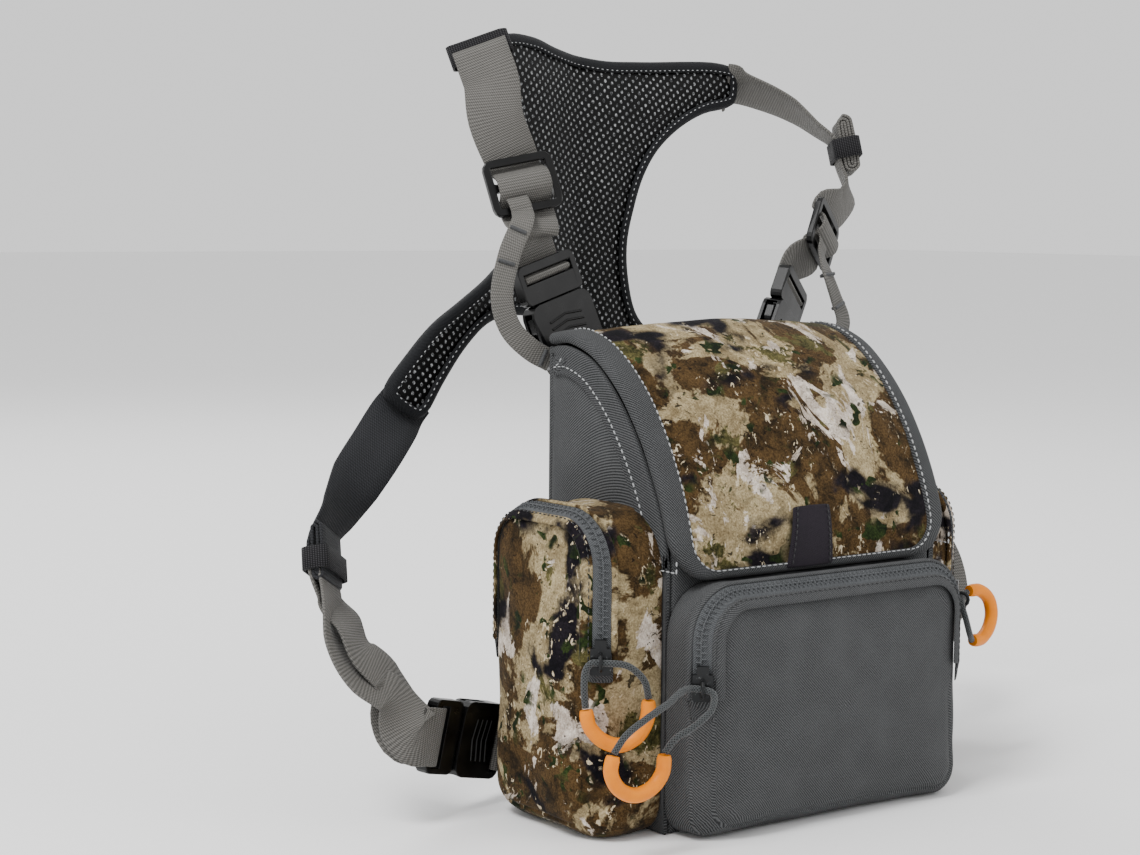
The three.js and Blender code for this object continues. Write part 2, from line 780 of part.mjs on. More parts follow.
function upperRightStrap() {
  const held = KEEPERS.upper_right;
  const stops = [
    [[98, 80, 322.5], [0.5, 0.6, -0.6]],
    [[110, 72, 318], [0.52, 0.65, -0.5]],
    [[121, 62, 311], [0.55, 0.7, -0.4]],
    [[128, 52, 302], [0.6, 0.8, -0.2]],
    stopIn(held, 4.5, 4),
    stopIn(held, 4.5, -6),
    stopIn(held, 3, -15),
    [[137, 36, 270], [0.8, 0.55, -0.3]],
    [[128, 34, 262], [0.78, 0.45, -0.45]],
    ...weaveStops(TRIGLIDES.upper_right),
    stopIn(BUCKLES.upper_right, 0, CLEAR_OF_PLUG + 4),
    stopIn(BUCKLES.upper_right, 0, CLEAR_OF_PLUG),
  ];
  const roll = tailRoll([-5.5, 4.5], [-13, 17]).applyMatrix4(frameOf(held));
  return join(webbing(stops, 2), roll);
}

// A lower strap runs from the yoke through its keeper to its buckle, and its tail runs back to the keeper.
// The left strap is described, and the right one is its mirror image apart from where it starts.
const LOWER_STRAP = {
  down: [
    [[-176, 24, 94], [0.75, 0.3, 0.4]],
    [[-173, 15, 85], [0.5, 0.2, 0.8]],
    [[-170.6, 8, 74], [0.35, 0.1, 0.93]],
    [[-161, 2, 62], [0.4, 0, 0.92]],
  ],
  back: [
    [[-163, -5, 56], [0.35, 0, 0.93]],
    [[-176, 2, 66], [0.4, 0.1, 0.9]],
    [[-181, 11, 80], [0.6, 0.2, 0.7]],
  ],
  fromYokeLeft: [
    [[-124.5, 51, 168.5], [0.93, 0.1, 0.35]],
    [[-139, 45, 155], [0.85, -0.25, 0.4]],
    [[-153, 40, 142], [0.85, -0.35, 0.3]],
    [[-165, 36, 129], [0.88, -0.2, 0.2]],
  ],
  fromYokeRight: [
    [[-113, 78, 147.5], [0.7, 0.3, 0.65]],
    [[-128, 68, 141], [0.75, 0.2, 0.6]],
    [[-147, 54, 130], [0.8, 0.2, 0.4]],
    [[-160, 43, 125], [0.88, 0.33, -0.1]],
  ],
};

function mirrorStop([[x, y, z], [acrossX, acrossY, acrossZ]]) {
  return [[-x, y, z], [acrossX, -acrossY, -acrossZ]];
}

function lowerStrap(side) {
  const name = side < 0 ? "lower_left" : "lower_right";
  const held = KEEPERS[name];
  const buckle = BUCKLES[name];
  const place = side < 0 ? (stop) => stop : mirrorStop;
  const fromYoke = side < 0 ? LOWER_STRAP.fromYokeLeft : LOWER_STRAP.fromYokeRight;
  const down = [
    ...fromYoke.map(place),
    stopIn(held, 0, 8),
    stopIn(held, 0, -5),
    ...LOWER_STRAP.down.map(place),
    stopIn(buckle, 1.5, CLEAR_OF_PLUG + 8),
    stopIn(buckle, 0.5, CLEAR_OF_PLUG),
  ];
  const back = [
    stopIn(buckle, 0, CLEAR_OF_PLUG + 0.5),
    stopIn(buckle, -2.5, CLEAR_OF_PLUG + 8),
    ...LOWER_STRAP.back.map(place),
    stopIn(held, -5, -12),
    stopIn(held, -4, -4),
  ];
  const roll = tailRoll([-7, 0.4], [-10, 15]).applyMatrix4(frameOf(held));
  return join(webbing(down, 3), webbing(back, 3), roll);
}

// The narrow safety tethers run from beside each triglide to the top corners of the pack.
const TETHERS = {
  upper_left: [
    [[-82, 15.5, 255], [0.9, -0.4, 0.1]],
    [[-91, 13, 240], [0.9, -0.4, 0.1]],
    [[-97, 10, 221], [0.9, -0.4, 0.1]],
    [[-94, 7.5, 208], [0.8, -0.4, 0.5]],
    [[-86, 3.6, 199], [0.6, -0.2, 0.7]],
    [[-77, 1.5, 194], [0.6, 0, 0.8]],
  ],
  upper_right: [
    [[99, 10.5, 229], [0.9, 0.4, 0.2]],
    [[103, 9, 218], [0.9, 0.3, 0.3]],
    [[106, 7, 207], [0.8, 0.2, 0.5]],
    [[98, 4.5, 196], [0.5, 0, -0.8]],
    [[86, 2.6, 191], [0.3, 0, -0.9]],
    [[76, 1.4, 189], [0.2, 0, -0.95]],
  ],
};

// The tabs of webbing that hold the sockets are sewn flat on the back panel.
function tab(buckle, sewn) {
  const below = -SOCKET_LENGTH;
  return webbing([stopIn(buckle, 0, below - 1), stopIn(buckle, 0, below - 4), ...sewn], 3);
}

const TABS = {
  upper_left: [
    [[-56.5, 4, 181], [1, 0, 0.2]],
    [[-56, 1.2, 172], [1, 0, 0.1]],
    [[-56, 1.1, 156], [1, 0, 0]],
  ],
  upper_right: [
    [[56.5, 3.2, 177], [0.95, 0.1, -0.3]],
    [[55, 1.2, 166], [1, 0, -0.1]],
    [[55, 1.1, 150], [1, 0, 0]],
  ],
  lower_left: [
    [[-96, 3.4, 26.6], [0.1, 0, 1]],
    [[-82, 1.2, 26], [0, 0, 1]],
    [[-64, 1.1, 26], [0, 0, 1]],
  ],
  lower_right: [
    [[96, 3.4, 26.6], [0.1, 0, -1]],
    [[82, 1.2, 26], [0, 0, -1]],
    [[64, 1.1, 26], [0, 0, -1]],
  ],
};

// The yoke's outline behind the shoulders, from the left shoulder arm clockwise.
const YOKE_OUTLINE = [
  [-62, 338],
  [-40, 339],
  [-23, 335.5],
  [-7, 333],
  [13, 331],
  [36, 331.5],
  [88, 333],
  [96, 330],
  [96, 315],
  [89, 312],
  [77, 309.5],
  [61, 302],
  [46, 290],
  [37, 277],
  [31, 261],
  [27, 244],
  [28, 226],
  [34, 208],
  [52, 194],
  [84, 178],
  [117, 161],
  [118, 158],
  [106, 144],
  [98, 145],
  [58, 160],
  [26, 176],
  [0, 190],
  [-22, 202],
  [-38, 210],
  [-56, 211.5],
  [-72, 208.5],
  [-88, 197],
  [-101, 182],
  [-111, 168.5],
  [-116, 167],
  [-130, 176],
  [-131, 180],
  [-118, 196],
  [-105, 208],
  [-90, 217],
  [-70, 229],
  [-56, 241],
  [-47, 258],
  [-44, 278],
  [-50, 298],
  [-60, 318],
  [-64, 330],
];

// The left half of the yoke bends forward, towards the shoulder.
const YOKE_BEND_DEPTH = 30;
const YOKE_BEND_WIDTH = 120;

function yokeBend(x) {
  const along = THREE.MathUtils.clamp((-5 - x) / YOKE_BEND_WIDTH, 0, 1);
  return -YOKE_BEND_DEPTH * Math.sin((along * Math.PI) / 2);
}

// The pad is cut into upright strips, so that it can bend at their edges.
function yokePad() {
  const shape = new THREE.Shape(YOKE_OUTLINE.map(([x, z]) => new THREE.Vector2(x, z)));
  const slab = new THREE.ExtrudeGeometry(shape, { depth: YOKE_THICKNESS, bevelEnabled: false });
  slab.rotateX(Math.PI / 2).translate(0, YOKE_BACK + YOKE_THICKNESS / 2, 0);
  const edges = [-140, -110, -85, -60, -35, -5, 140];
  const strips = edges.slice(1).map((right, index) => {
    const strip = solidOf(slab).intersect(solidOf(box([edges[index], right], [0, 200], [0, 400])));
    const bent = geometryOf(strip);
    const positions = bent.getAttribute("position");
    for (let i = 0; i < positions.count; i++) {
      positions.setY(i, positions.getY(i) + yokeBend(positions.getX(i)));
    }
    return bent;
  });
  return join(...strips);
}

function addHarness() {
  for (const [name, buckle] of Object.entries(BUCKLES)) {
    const frame = frameOf(buckle);
    addPart(`${name}_socket`, buckleSocket().applyMatrix4(frame), plastic(BLACK_PLASTIC));
    addPart(`${name}_plug`, buckleFrame().applyMatrix4(frame), plastic(BLACK_PLASTIC));
    addPart(`${name}_prong_a`, buckleProng(-1).applyMatrix4(frame), plastic(BLACK_PLASTIC));
    addPart(`${name}_prong_b`, buckleProng(1).applyMatrix4(frame), plastic(BLACK_PLASTIC));
    addPart(`${name}_tab`, tab(buckle, TABS[name]), cloth(WEBBING_GREY));
  }
  for (const [name, fitting] of Object.entries(TRIGLIDES)) {
    addPart(`${name}_triglide`, triglide().applyMatrix4(frameOf(fitting)), plastic(BLACK_PLASTIC));
  }
  for (const [name, stops] of Object.entries(TETHERS)) {
    addPart(`${name}_tether`, ribbon(stops, TETHER_WIDTH, TETHER_THICKNESS), cloth(WEBBING_GREY));
  }
  const sleeves = {
    upper_left: [-4.8, 8],
    upper_right: [-6, 6.4],
    lower_left: [-8, 2.4],
    lower_right: [-8, 2.4],
  };
  for (const [name, depth] of Object.entries(sleeves)) {
    const sleeve = keeper(depth, KEEPER_HEIGHT).applyMatrix4(frameOf(KEEPERS[name]));
    addPart(`${name}_keeper`, sleeve, cloth(ELASTIC_GREY));
  }
  addPart("upper_left_strap", upperLeftStrap(), cloth(WEBBING_GREY));
  addPart("upper_right_strap", upperRightStrap(), cloth(WEBBING_GREY));
  addPart("lower_left_strap", lowerStrap(-1), cloth(WEBBING_GREY));
  addPart("lower_right_strap", lowerStrap(1), cloth(WEBBING_GREY));
  addPart("yoke_pad", yokePad(), cloth(BLACK_MESH));
}

function addMagnets() {
  for (const [name, geometry] of Object.entries(magnets())) {
    addPart(name, geometry, magnetSteel());
  }
}

addBody();
addPockets();
addLid();
addMagnets();
addPulls();
addHarness();

group.position.z = -PACK_HEIGHT / 2;
export default group;
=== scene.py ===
"""A binocular harness pack: a chest pack with a flap lid, three zipped pockets and a four-strap harness.

Places are in millimetres from the middle of the pack's underside at its back face: X to the viewer's right,
Y back towards the wearer, Z up. in_frame() turns them into the frame's metres.
"""

import math

import bpy
from mathutils import Matrix, Vector, noise


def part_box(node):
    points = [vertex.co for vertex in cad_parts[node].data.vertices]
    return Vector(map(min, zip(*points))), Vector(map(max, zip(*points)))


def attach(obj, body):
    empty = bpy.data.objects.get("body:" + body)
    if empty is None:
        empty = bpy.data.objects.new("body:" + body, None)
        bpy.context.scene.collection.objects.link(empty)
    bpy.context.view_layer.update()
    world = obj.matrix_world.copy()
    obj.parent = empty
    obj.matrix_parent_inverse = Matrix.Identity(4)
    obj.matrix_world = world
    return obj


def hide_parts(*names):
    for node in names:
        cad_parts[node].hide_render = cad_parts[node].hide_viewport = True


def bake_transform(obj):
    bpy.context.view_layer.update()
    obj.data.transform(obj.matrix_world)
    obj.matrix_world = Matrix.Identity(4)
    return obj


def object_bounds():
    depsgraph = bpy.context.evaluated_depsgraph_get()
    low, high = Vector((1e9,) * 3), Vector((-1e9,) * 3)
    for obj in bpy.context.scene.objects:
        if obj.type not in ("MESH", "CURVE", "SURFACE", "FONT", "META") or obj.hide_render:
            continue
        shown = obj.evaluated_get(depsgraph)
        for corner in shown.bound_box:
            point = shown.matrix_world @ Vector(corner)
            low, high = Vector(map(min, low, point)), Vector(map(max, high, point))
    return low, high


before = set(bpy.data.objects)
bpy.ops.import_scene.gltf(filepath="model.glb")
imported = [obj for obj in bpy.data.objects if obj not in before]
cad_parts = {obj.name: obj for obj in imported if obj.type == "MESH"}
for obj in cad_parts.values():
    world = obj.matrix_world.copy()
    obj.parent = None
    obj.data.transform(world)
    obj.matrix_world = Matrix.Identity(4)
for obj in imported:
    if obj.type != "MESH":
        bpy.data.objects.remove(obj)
cad_low, cad_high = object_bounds()

# ---- sizes, in millimetres ----
MM = 0.001
back_low, back_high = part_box("back_panel")
UNDERSIDE = back_low.z
HALF_WIDTH = back_high.x / MM
PACK_DEPTH = -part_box("front_panel")[0].y / MM
BODY_TOP = (back_high.z - back_low.z) / MM
GAP = 0.3

LID_PROFILE = [
    (-0.5, 205.5),
    (-16, 206.5),
    (-35, 200),
    (-52, 186.5),
    (-67, 168),
    (-78, 148),
    (-86, 127),
    (-89, 107.5),
]
LID_THICKNESS = 4
LID_CROWN = 6.5
LID_EDGE_WIDTH = 10
LID_HEM_WIDTH = 3.5
LID_CORNER_RADIUS = 20
LID_INNER_RADIUS = 13

FRONT_POCKET_HEIGHT = 106
FRONT_POCKET_DEPTH = 24
SIDE_POCKET_HEIGHT = 137
SIDE_POCKET_BACK = -6
SIDE_POCKETS = {"left": (-1, 36, -81), "right": (1, 29, -73)}
FRONT_ZIP_END = 60
SIDE_ZIP_END = 76

WEBBING_WIDTH = 25
WEBBING_THICKNESS = 1.4
TETHER_WIDTH = 10
CORD_DIAMETER = 3
GRIP_DIAMETER = 6


def in_frame(place):
    """Pack millimetres as the frame's metres."""
    x, y, z = place
    return Vector((x * MM, y * MM, z * MM + UNDERSIDE))


def from_frame(place):
    """The frame's metres as pack millimetres."""
    x, y, z = place
    return Vector((x / MM, y / MM, (z - UNDERSIDE) / MM))


# ---- smooth routes ----
def lengths_along(points):
    """How far along the line each of its points is."""
    lengths = [0.0]
    for before, after in zip(points, points[1:]):
        lengths.append(lengths[-1] + (after - before).length)
    return lengths


def spread_evenly(line, count):
    """That many places spread evenly along a closed line, which ends where it starts."""
    distances = lengths_along(line)
    places = []
    index = 0
    for step in range(count):
        wanted = distances[-1] * step / count
        while distances[index + 1] < wanted:
            index += 1
        share = (wanted - distances[index]) / max(distances[index + 1] - distances[index], 1e-9)
        places.append(line[index].lerp(line[index + 1], share))
    return places


class Route:
    """A smooth route through given places, measured along its length."""

    def __init__(self, places, steps=16, power=0.0):
        knots = [Vector(place) for place in places]
        first = knots[0] * 2 - knots[1]
        last = knots[-1] * 2 - knots[-2]
        if power == 0.0:
            first, last = knots[0], knots[-1]
        padded = [first, *knots, last]
        self.points = []
        for index in range(len(knots) - 1):
            section = padded[index : index + 4]
            for step in range(steps):
                self.points.append(self.between(section, step / steps, power))
        self.points.append(knots[-1])
        self.distances = lengths_along(self.points)
        self.length = self.distances[-1]

    @staticmethod
    def between(section, share, power):
        """A Catmull-Rom point: uniform at power 0, centripetal at power 0.5."""
        before, start, end, after = section
        gaps = [max((b - a).length ** power, 1e-4) for a, b in zip(section, section[1:])]
        if power == 0.0:
            leave = (end - before) / 2
            arrive = (after - start) / 2
        else:
            first, gap, last = gaps
            leave = ((start - before) / first - (end - before) / (first + gap)) * gap + end - start
            arrive = (end - start) - ((after - start) / (gap + last) - (after - end) / last) * gap
        cube = (start - end) * 2 + leave + arrive
        square = (end - start) * 3 - leave * 2 - arrive
        return ((cube * share + square) * share + leave) * share + start

    def at(self, distance):
        """The point at a distance along the route, and the way it goes there."""
        distance = min(max(distance, 0.0), self.length)
        low, high = 0, len(self.distances) - 1
        while high - low > 1:
            middle = (low + high) // 2
            if self.distances[middle] <= distance:
                low = middle
            else:
                high = middle
        span = self.distances[high] - self.distances[low]
        share = (distance - self.distances[low]) / max(span, 1e-9)
        point = self.points[low].lerp(self.points[high], share)
        before = self.points[max(low - 1, 0)]
        after = self.points[min(high + 1, len(self.points) - 1)]
        return point, (after - before).normalized()


def smooth_step(value):
    value = min(max(value, 0.0), 1.0)
    return value * value * (3 - 2 * value)


def mixed(low, high, share):
    return low + (high - low) * share


# ---- meshes ----
class Shape:
    """The points and faces of one piece, with each face corner's place on its cloth, in millimetres."""

    def __init__(self):
        self.points = []
        self.faces = []
        self.cloth = []

    def add(self, points, faces, cloth=None):
        start = len(self.points)
        self.points.extend(Vector(point) for point in points)
        for index, face in enumerate(faces):
            self.faces.append([start + corner for corner in face])
            self.cloth.append(cloth[index] if cloth else None)

    def loft(self, rings, closed=True, caps=True):
        """Faces over rings of equally many points. Cloth runs across each ring and on from ring to ring."""
        count = len(rings[0])
        columns = count if closed else count - 1
        across = []
        for ring in rings:
            places = [0.0]
            for column in range(columns):
                places.append(places[-1] + (ring[(column + 1) % count] - ring[column]).length)
            across.append(places)
        along = [0.0]
        for before, after in zip(rings, rings[1:]):
            along.append(along[-1] + sum((b - a).length for a, b in zip(before, after)) / count)
        faces, cloth = [], []
        for row in range(len(rings) - 1):
            for column in range(columns):
                beside = (column + 1) % count
                here, above = row * count, (row + 1) * count
                faces.append([here + column, here + beside, above + beside, above + column])
                corners = [(row, column), (row, column + 1), (row + 1, column + 1), (row + 1, column)]
                cloth.append([(across[r][c], along[r]) for r, c in corners])
        points = [point for ring in rings for point in ring]
        if caps and closed:
            faces.append(list(reversed(range(count))))
            faces.append([(len(rings) - 1) * count + column for column in range(count)])
            cloth += [[(0.0, 0.0)] * count] * 2
            if volume(points, faces) < 0:
                faces = [list(reversed(face)) for face in faces]
                cloth = [list(reversed(places)) for places in cloth]
        self.add(points, faces, cloth)

    def tube(self, points, radius, sides):
        """A round bar along a line of points."""
        self.loft(tube_rings(points, radius, sides))

    def build(self, name, materials, body, slot, replaces=(), sharp=None):
        """Makes the piece, and parents it to its body's empty when it is given a body."""
        mesh = bpy.data.meshes.new(name)
        mesh.from_pydata([in_frame(point) for point in self.points], [], self.faces)
        mesh.update()
        for material in materials if isinstance(materials, (list, tuple)) else [materials]:
            mesh.materials.append(material)
        attribute = mesh.attributes.new("cloth", "FLOAT_VECTOR", "CORNER")
        for face, places in zip(mesh.polygons, self.cloth):
            for index, corner in enumerate(face.loop_indices):
                if places:
                    across, along = places[index]
                else:
                    across, along = flat_place(mesh.vertices[mesh.loops[corner].vertex_index].co, face.normal)
                attribute.data[corner].vector = (across, along, 0)
        mesh.shade_smooth()
        if sharp:
            mesh.set_sharp_from_angle(angle=math.radians(sharp))
        made = bpy.data.objects.new(name, mesh)
        bpy.context.scene.collection.objects.link(made)
        if body:
            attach(made, body)
        if replaces:
            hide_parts(*replaces)
        return made


def volume(points, faces):
    total = 0.0
    for face in faces:
        first = points[face[0]]
        for second, third in zip(face[1:], face[2:]):
            total += first.dot(points[second].cross(points[third]))
    return total


def flat_place(point, normal):
    """Cloth laid flat on whichever of the three main planes a face is closest to."""
    x, y, z = point.x / MM, point.y / MM, point.z / MM
    sizes = [abs(component) for component in normal]
    if sizes[1] >= max(sizes[0], sizes[2]):
        return x, z
    if sizes[0] >= sizes[2]:
        return y, z
    return x, y


def tube_rings(points, radius, sides):
    """Rings round a line of points, each turned as little as it can be from the one before."""
    side = None
    rings = []
    for index, point in enumerate(points):
        way = (points[min(index + 1, len(points) - 1)] - points[max(index - 1, 0)]).normalized()
        if side is None:
            side = way.cross(Vector((0, 1, 0)))
            if side.length < 0.2:
                side = way.cross(Vector((1, 0, 0)))
        side = (side - way * side.dot(way)).normalized()
        up = way.cross(side)
        angles = [2 * math.pi * corner / sides for corner in range(sides)]
        rings.append([point + (side * math.cos(a) + up * math.sin(a)) * radius for a in angles])
    return rings


def refine(made, thickness=None):
    """Gives a sheet its thickness, inwards from the modelled face, and rounds it."""
    if thickness:
        solid = made.modifiers.new("Thickness", "SOLIDIFY")
        solid.thickness = thickness * MM
        solid.offset = -1.0
        solid.use_even_offset = True
    rounding = made.modifiers.new("Rounding", "SUBSURF")
    rounding.levels = 1
    rounding.render_levels = 1


def weld(made, distance):
    """Joins the points of a piece that lie closer together than that many millimetres."""
    joining = made.modifiers.new("Weld", "WELD")
    joining.merge_threshold = distance * MM


STITCH_SECTION = [(-1, -0.4), (0, -0.8), (1, -0.4), (0.7, 0.5), (-0.7, 0.5)]


def stitches(shape, places, normals, pitch=3.1, length=2.0, width=0.55):
    """Dashes of thread along a line of places, each lying on the surface whose normals are given."""
    distances = lengths_along(places)
    index = 0
    start = pitch / 2
    while start + length < distances[-1]:
        while distances[index + 1] < start:
            index += 1
        way = (places[index + 1] - places[index]).normalized()
        share = (start - distances[index]) / max(distances[index + 1] - distances[index], 1e-9)
        centre = places[index].lerp(places[index + 1], share)
        normal = normals[index]
        side = way.cross(normal).normalized()
        half = length / 2
        rings = []
        for along, size in ((-half, 0.35), (-half * 0.6, 1.0), (half * 0.6, 1.0), (half, 0.35)):
            middle = centre + way * along + normal * (0.12 * size)
            rings.append([
                middle + side * u * width / 2 * size + normal * v * width * size for u, v in STITCH_SECTION
            ])
        shape.loft(rings)
        start += pitch


# ---- cloth simulation ----
CLOTH_FRAMES = 20


def puff(made, pinned, cap, pressure):
    """Blows a closed cloth piece out against its pinned points, and moves no point further than cap."""
    scene = bpy.context.scene
    group = made.vertex_groups.new(name="pinned")
    group.add(pinned, 1.0, "REPLACE")
    cloth = made.modifiers.new("Cloth", "CLOTH")
    cloth.settings.quality = 5
    cloth.settings.use_pressure = True
    cloth.settings.uniform_pressure_force = pressure
    cloth.settings.vertex_group_mass = "pinned"
    cloth.settings.effector_weights.gravity = 0
    cloth.point_cache.frame_start = 1
    cloth.point_cache.frame_end = CLOTH_FRAMES
    for number in range(1, CLOTH_FRAMES + 1):
        scene.frame_set(number)
    evaluated = made.evaluated_get(bpy.context.evaluated_depsgraph_get())
    moved = [vertex.co.copy() for vertex in evaluated.data.vertices]
    for vertex, target in zip(made.data.vertices, moved):
        step = target - vertex.co
        if step.length > cap * MM:
            step *= cap * MM / step.length
        vertex.co += step
    made.modifiers.remove(cloth)
    made.vertex_groups.remove(group)
    scene.frame_set(1)
    made.data.update()


# ---- materials ----
def colour(code):
    """A linear colour from an sRGB hex code."""
    parts = [int(code[i : i + 2], 16) / 255 for i in (0, 2, 4)]
    linear = [p / 12.92 if p <= 0.04045 else ((p + 0.055) / 1.055) ** 2.4 for p in parts]
    return (*linear, 1.0)


class Surface:
    """A material being put together from nodes, with its places measured in millimetres."""

    def __init__(self, name, roughness, specular, sheen=0.0):
        self.material = bpy.data.materials.new(name)
        self.material.use_nodes = True
        self.nodes = self.material.node_tree.nodes
        self.links = self.material.node_tree.links
        self.shader = self.nodes["Principled BSDF"]
        self.shader.inputs["Roughness"].default_value = roughness
        self.shader.inputs["Specular IOR Level"].default_value = specular
        self.shader.inputs["Sheen Weight"].default_value = sheen
        self.shader.inputs["Sheen Roughness"].default_value = 0.4

    def node(self, kind, **settings):
        made = self.nodes.new(kind)
        for setting, value in settings.items():
            setattr(made, setting, value)
        return made

    def feed(self, socket, value):
        if hasattr(value, "is_output"):
            self.links.new(value, socket)
        else:
            socket.default_value = value

    def body_place(self):
        """Millimetres in the piece's own space, which doesn't change as the piece moves."""
        source = self.node("ShaderNodeTexCoord").outputs["Object"]
        return self.scaled(source, (1 / MM,) * 3)

    def cloth_place(self):
        return self.node("ShaderNodeAttribute", attribute_name="cloth").outputs["Vector"]

    def scaled(self, place, factors):
        made = self.node("ShaderNodeVectorMath", operation="MULTIPLY")
        self.feed(made.inputs[0], place)
        self.feed(made.inputs[1], factors)
        return made.outputs[0]

    def shifted(self, place, shift):
        made = self.node("ShaderNodeMapping")
        self.feed(made.inputs["Vector"], place)
        made.inputs["Location"].default_value = shift
        return made.outputs[0]

    def parts(self, place):
        made = self.node("ShaderNodeSeparateXYZ")
        self.feed(made.inputs[0], place)
        return made.outputs["X"], made.outputs["Y"], made.outputs["Z"]

    def math(self, operation, first, second=0.0, third=0.0):
        made = self.node("ShaderNodeMath", operation=operation)
        for socket, value in zip(made.inputs, (first, second, third)):
            self.feed(socket, value)
        return made.outputs[0]

    def noise(self, place, size, detail=2.0, rough=0.5, warp=0.0):
        """Cloudy noise from 0 to 1 whose lumps are about size millimetres across."""
        made = self.node("ShaderNodeTexNoise")
        self.feed(made.inputs["Vector"], place)
        made.inputs["Scale"].default_value = 1 / size
        made.inputs["Detail"].default_value = detail
        made.inputs["Roughness"].default_value = rough
        made.inputs["Distortion"].default_value = warp
        return made.outputs["Fac"]

    def cells(self, place, size):
        """Rounded cells about size millimetres across, 0 in the middle of each."""
        made = self.node("ShaderNodeTexVoronoi")
        self.feed(made.inputs["Vector"], place)
        made.inputs["Scale"].default_value = 1 / size
        return made.outputs["Distance"]

    def step(self, value, low, high):
        """0 below low and 1 above high, with a smooth step between."""
        made = self.node("ShaderNodeMapRange", interpolation_type="SMOOTHSTEP")
        self.feed(made.inputs["Value"], value)
        made.inputs["From Min"].default_value = low
        made.inputs["From Max"].default_value = high
        return made.outputs["Result"]

    def mix(self, share, first, second, blend="MIX"):
        made = self.node("ShaderNodeMix", data_type="RGBA", blend_type=blend)
        self.feed(made.inputs["Factor"], share)
        self.feed(made.inputs["A"], first)
        self.feed(made.inputs["B"], second)
        return made.outputs["Result"]

    def paint(self, shade, roughness=None):
        self.feed(self.shader.inputs["Base Color"], shade)
        if roughness is not None:
            self.feed(self.shader.inputs["Roughness"], roughness)

    def relief(self, height, depth):
        """Height from 0 to 1 stands for depth millimetres."""
        made = self.node("ShaderNodeBump")
        self.feed(made.inputs["Height"], height)
        made.inputs["Distance"].default_value = depth * MM
        self.links.new(made.outputs["Normal"], self.shader.inputs["Normal"])

    def wave(self, value, pitch):
        """A smooth wave from 0 to 1 with that pitch in millimetres."""
        turn = self.math("MULTIPLY", value, 2 * math.pi / pitch)
        return self.math("MULTIPLY_ADD", self.math("SINE", turn), 0.5, 0.5)


def twill(surface, place, pitch):
    """The height of a twill weave, from 0 to 1: slanting rows of short raised threads."""
    across, along, _ = surface.parts(place)
    slant = surface.math("ADD", across, along)
    rows = surface.wave(slant, pitch)
    threads = surface.wave(surface.math("SUBTRACT", across, along), pitch * 0.8)
    return surface.math("MULTIPLY", rows, surface.math("MULTIPLY_ADD", threads, 0.5, 0.5))


def woven_cloth(name, dark, light, pitch=0.95, roughness=0.85, sheen=0.04):
    """Woven polyester: two greys of thread, a fine slanting weave, a little unevenness and wear."""
    surface = Surface(name, roughness=roughness, specular=0.12, sheen=sheen)
    place = surface.cloth_place()
    body = surface.body_place()
    wobble = surface.noise(body, 14, detail=3)
    weave = twill(surface, place, pitch)
    thread = surface.noise(place, 0.7, detail=1)
    tone = surface.math("MULTIPLY_ADD", weave, 0.6, surface.math("MULTIPLY", thread, 0.45))
    shade = surface.mix(surface.step(tone, 0.15, 0.85), colour(dark), colour(light))
    faded = surface.mix(surface.step(wobble, 0.35, 0.75), shade, colour(light))
    shade = surface.mix(0.16, shade, faded)
    surface.paint(shade, surface.math("MULTIPLY_ADD", wobble, 0.12, roughness - 0.08))
    surface.relief(surface.math("MULTIPLY_ADD", weave, 0.7, surface.math("MULTIPLY", thread, 0.3)), 0.16)
    return surface.material


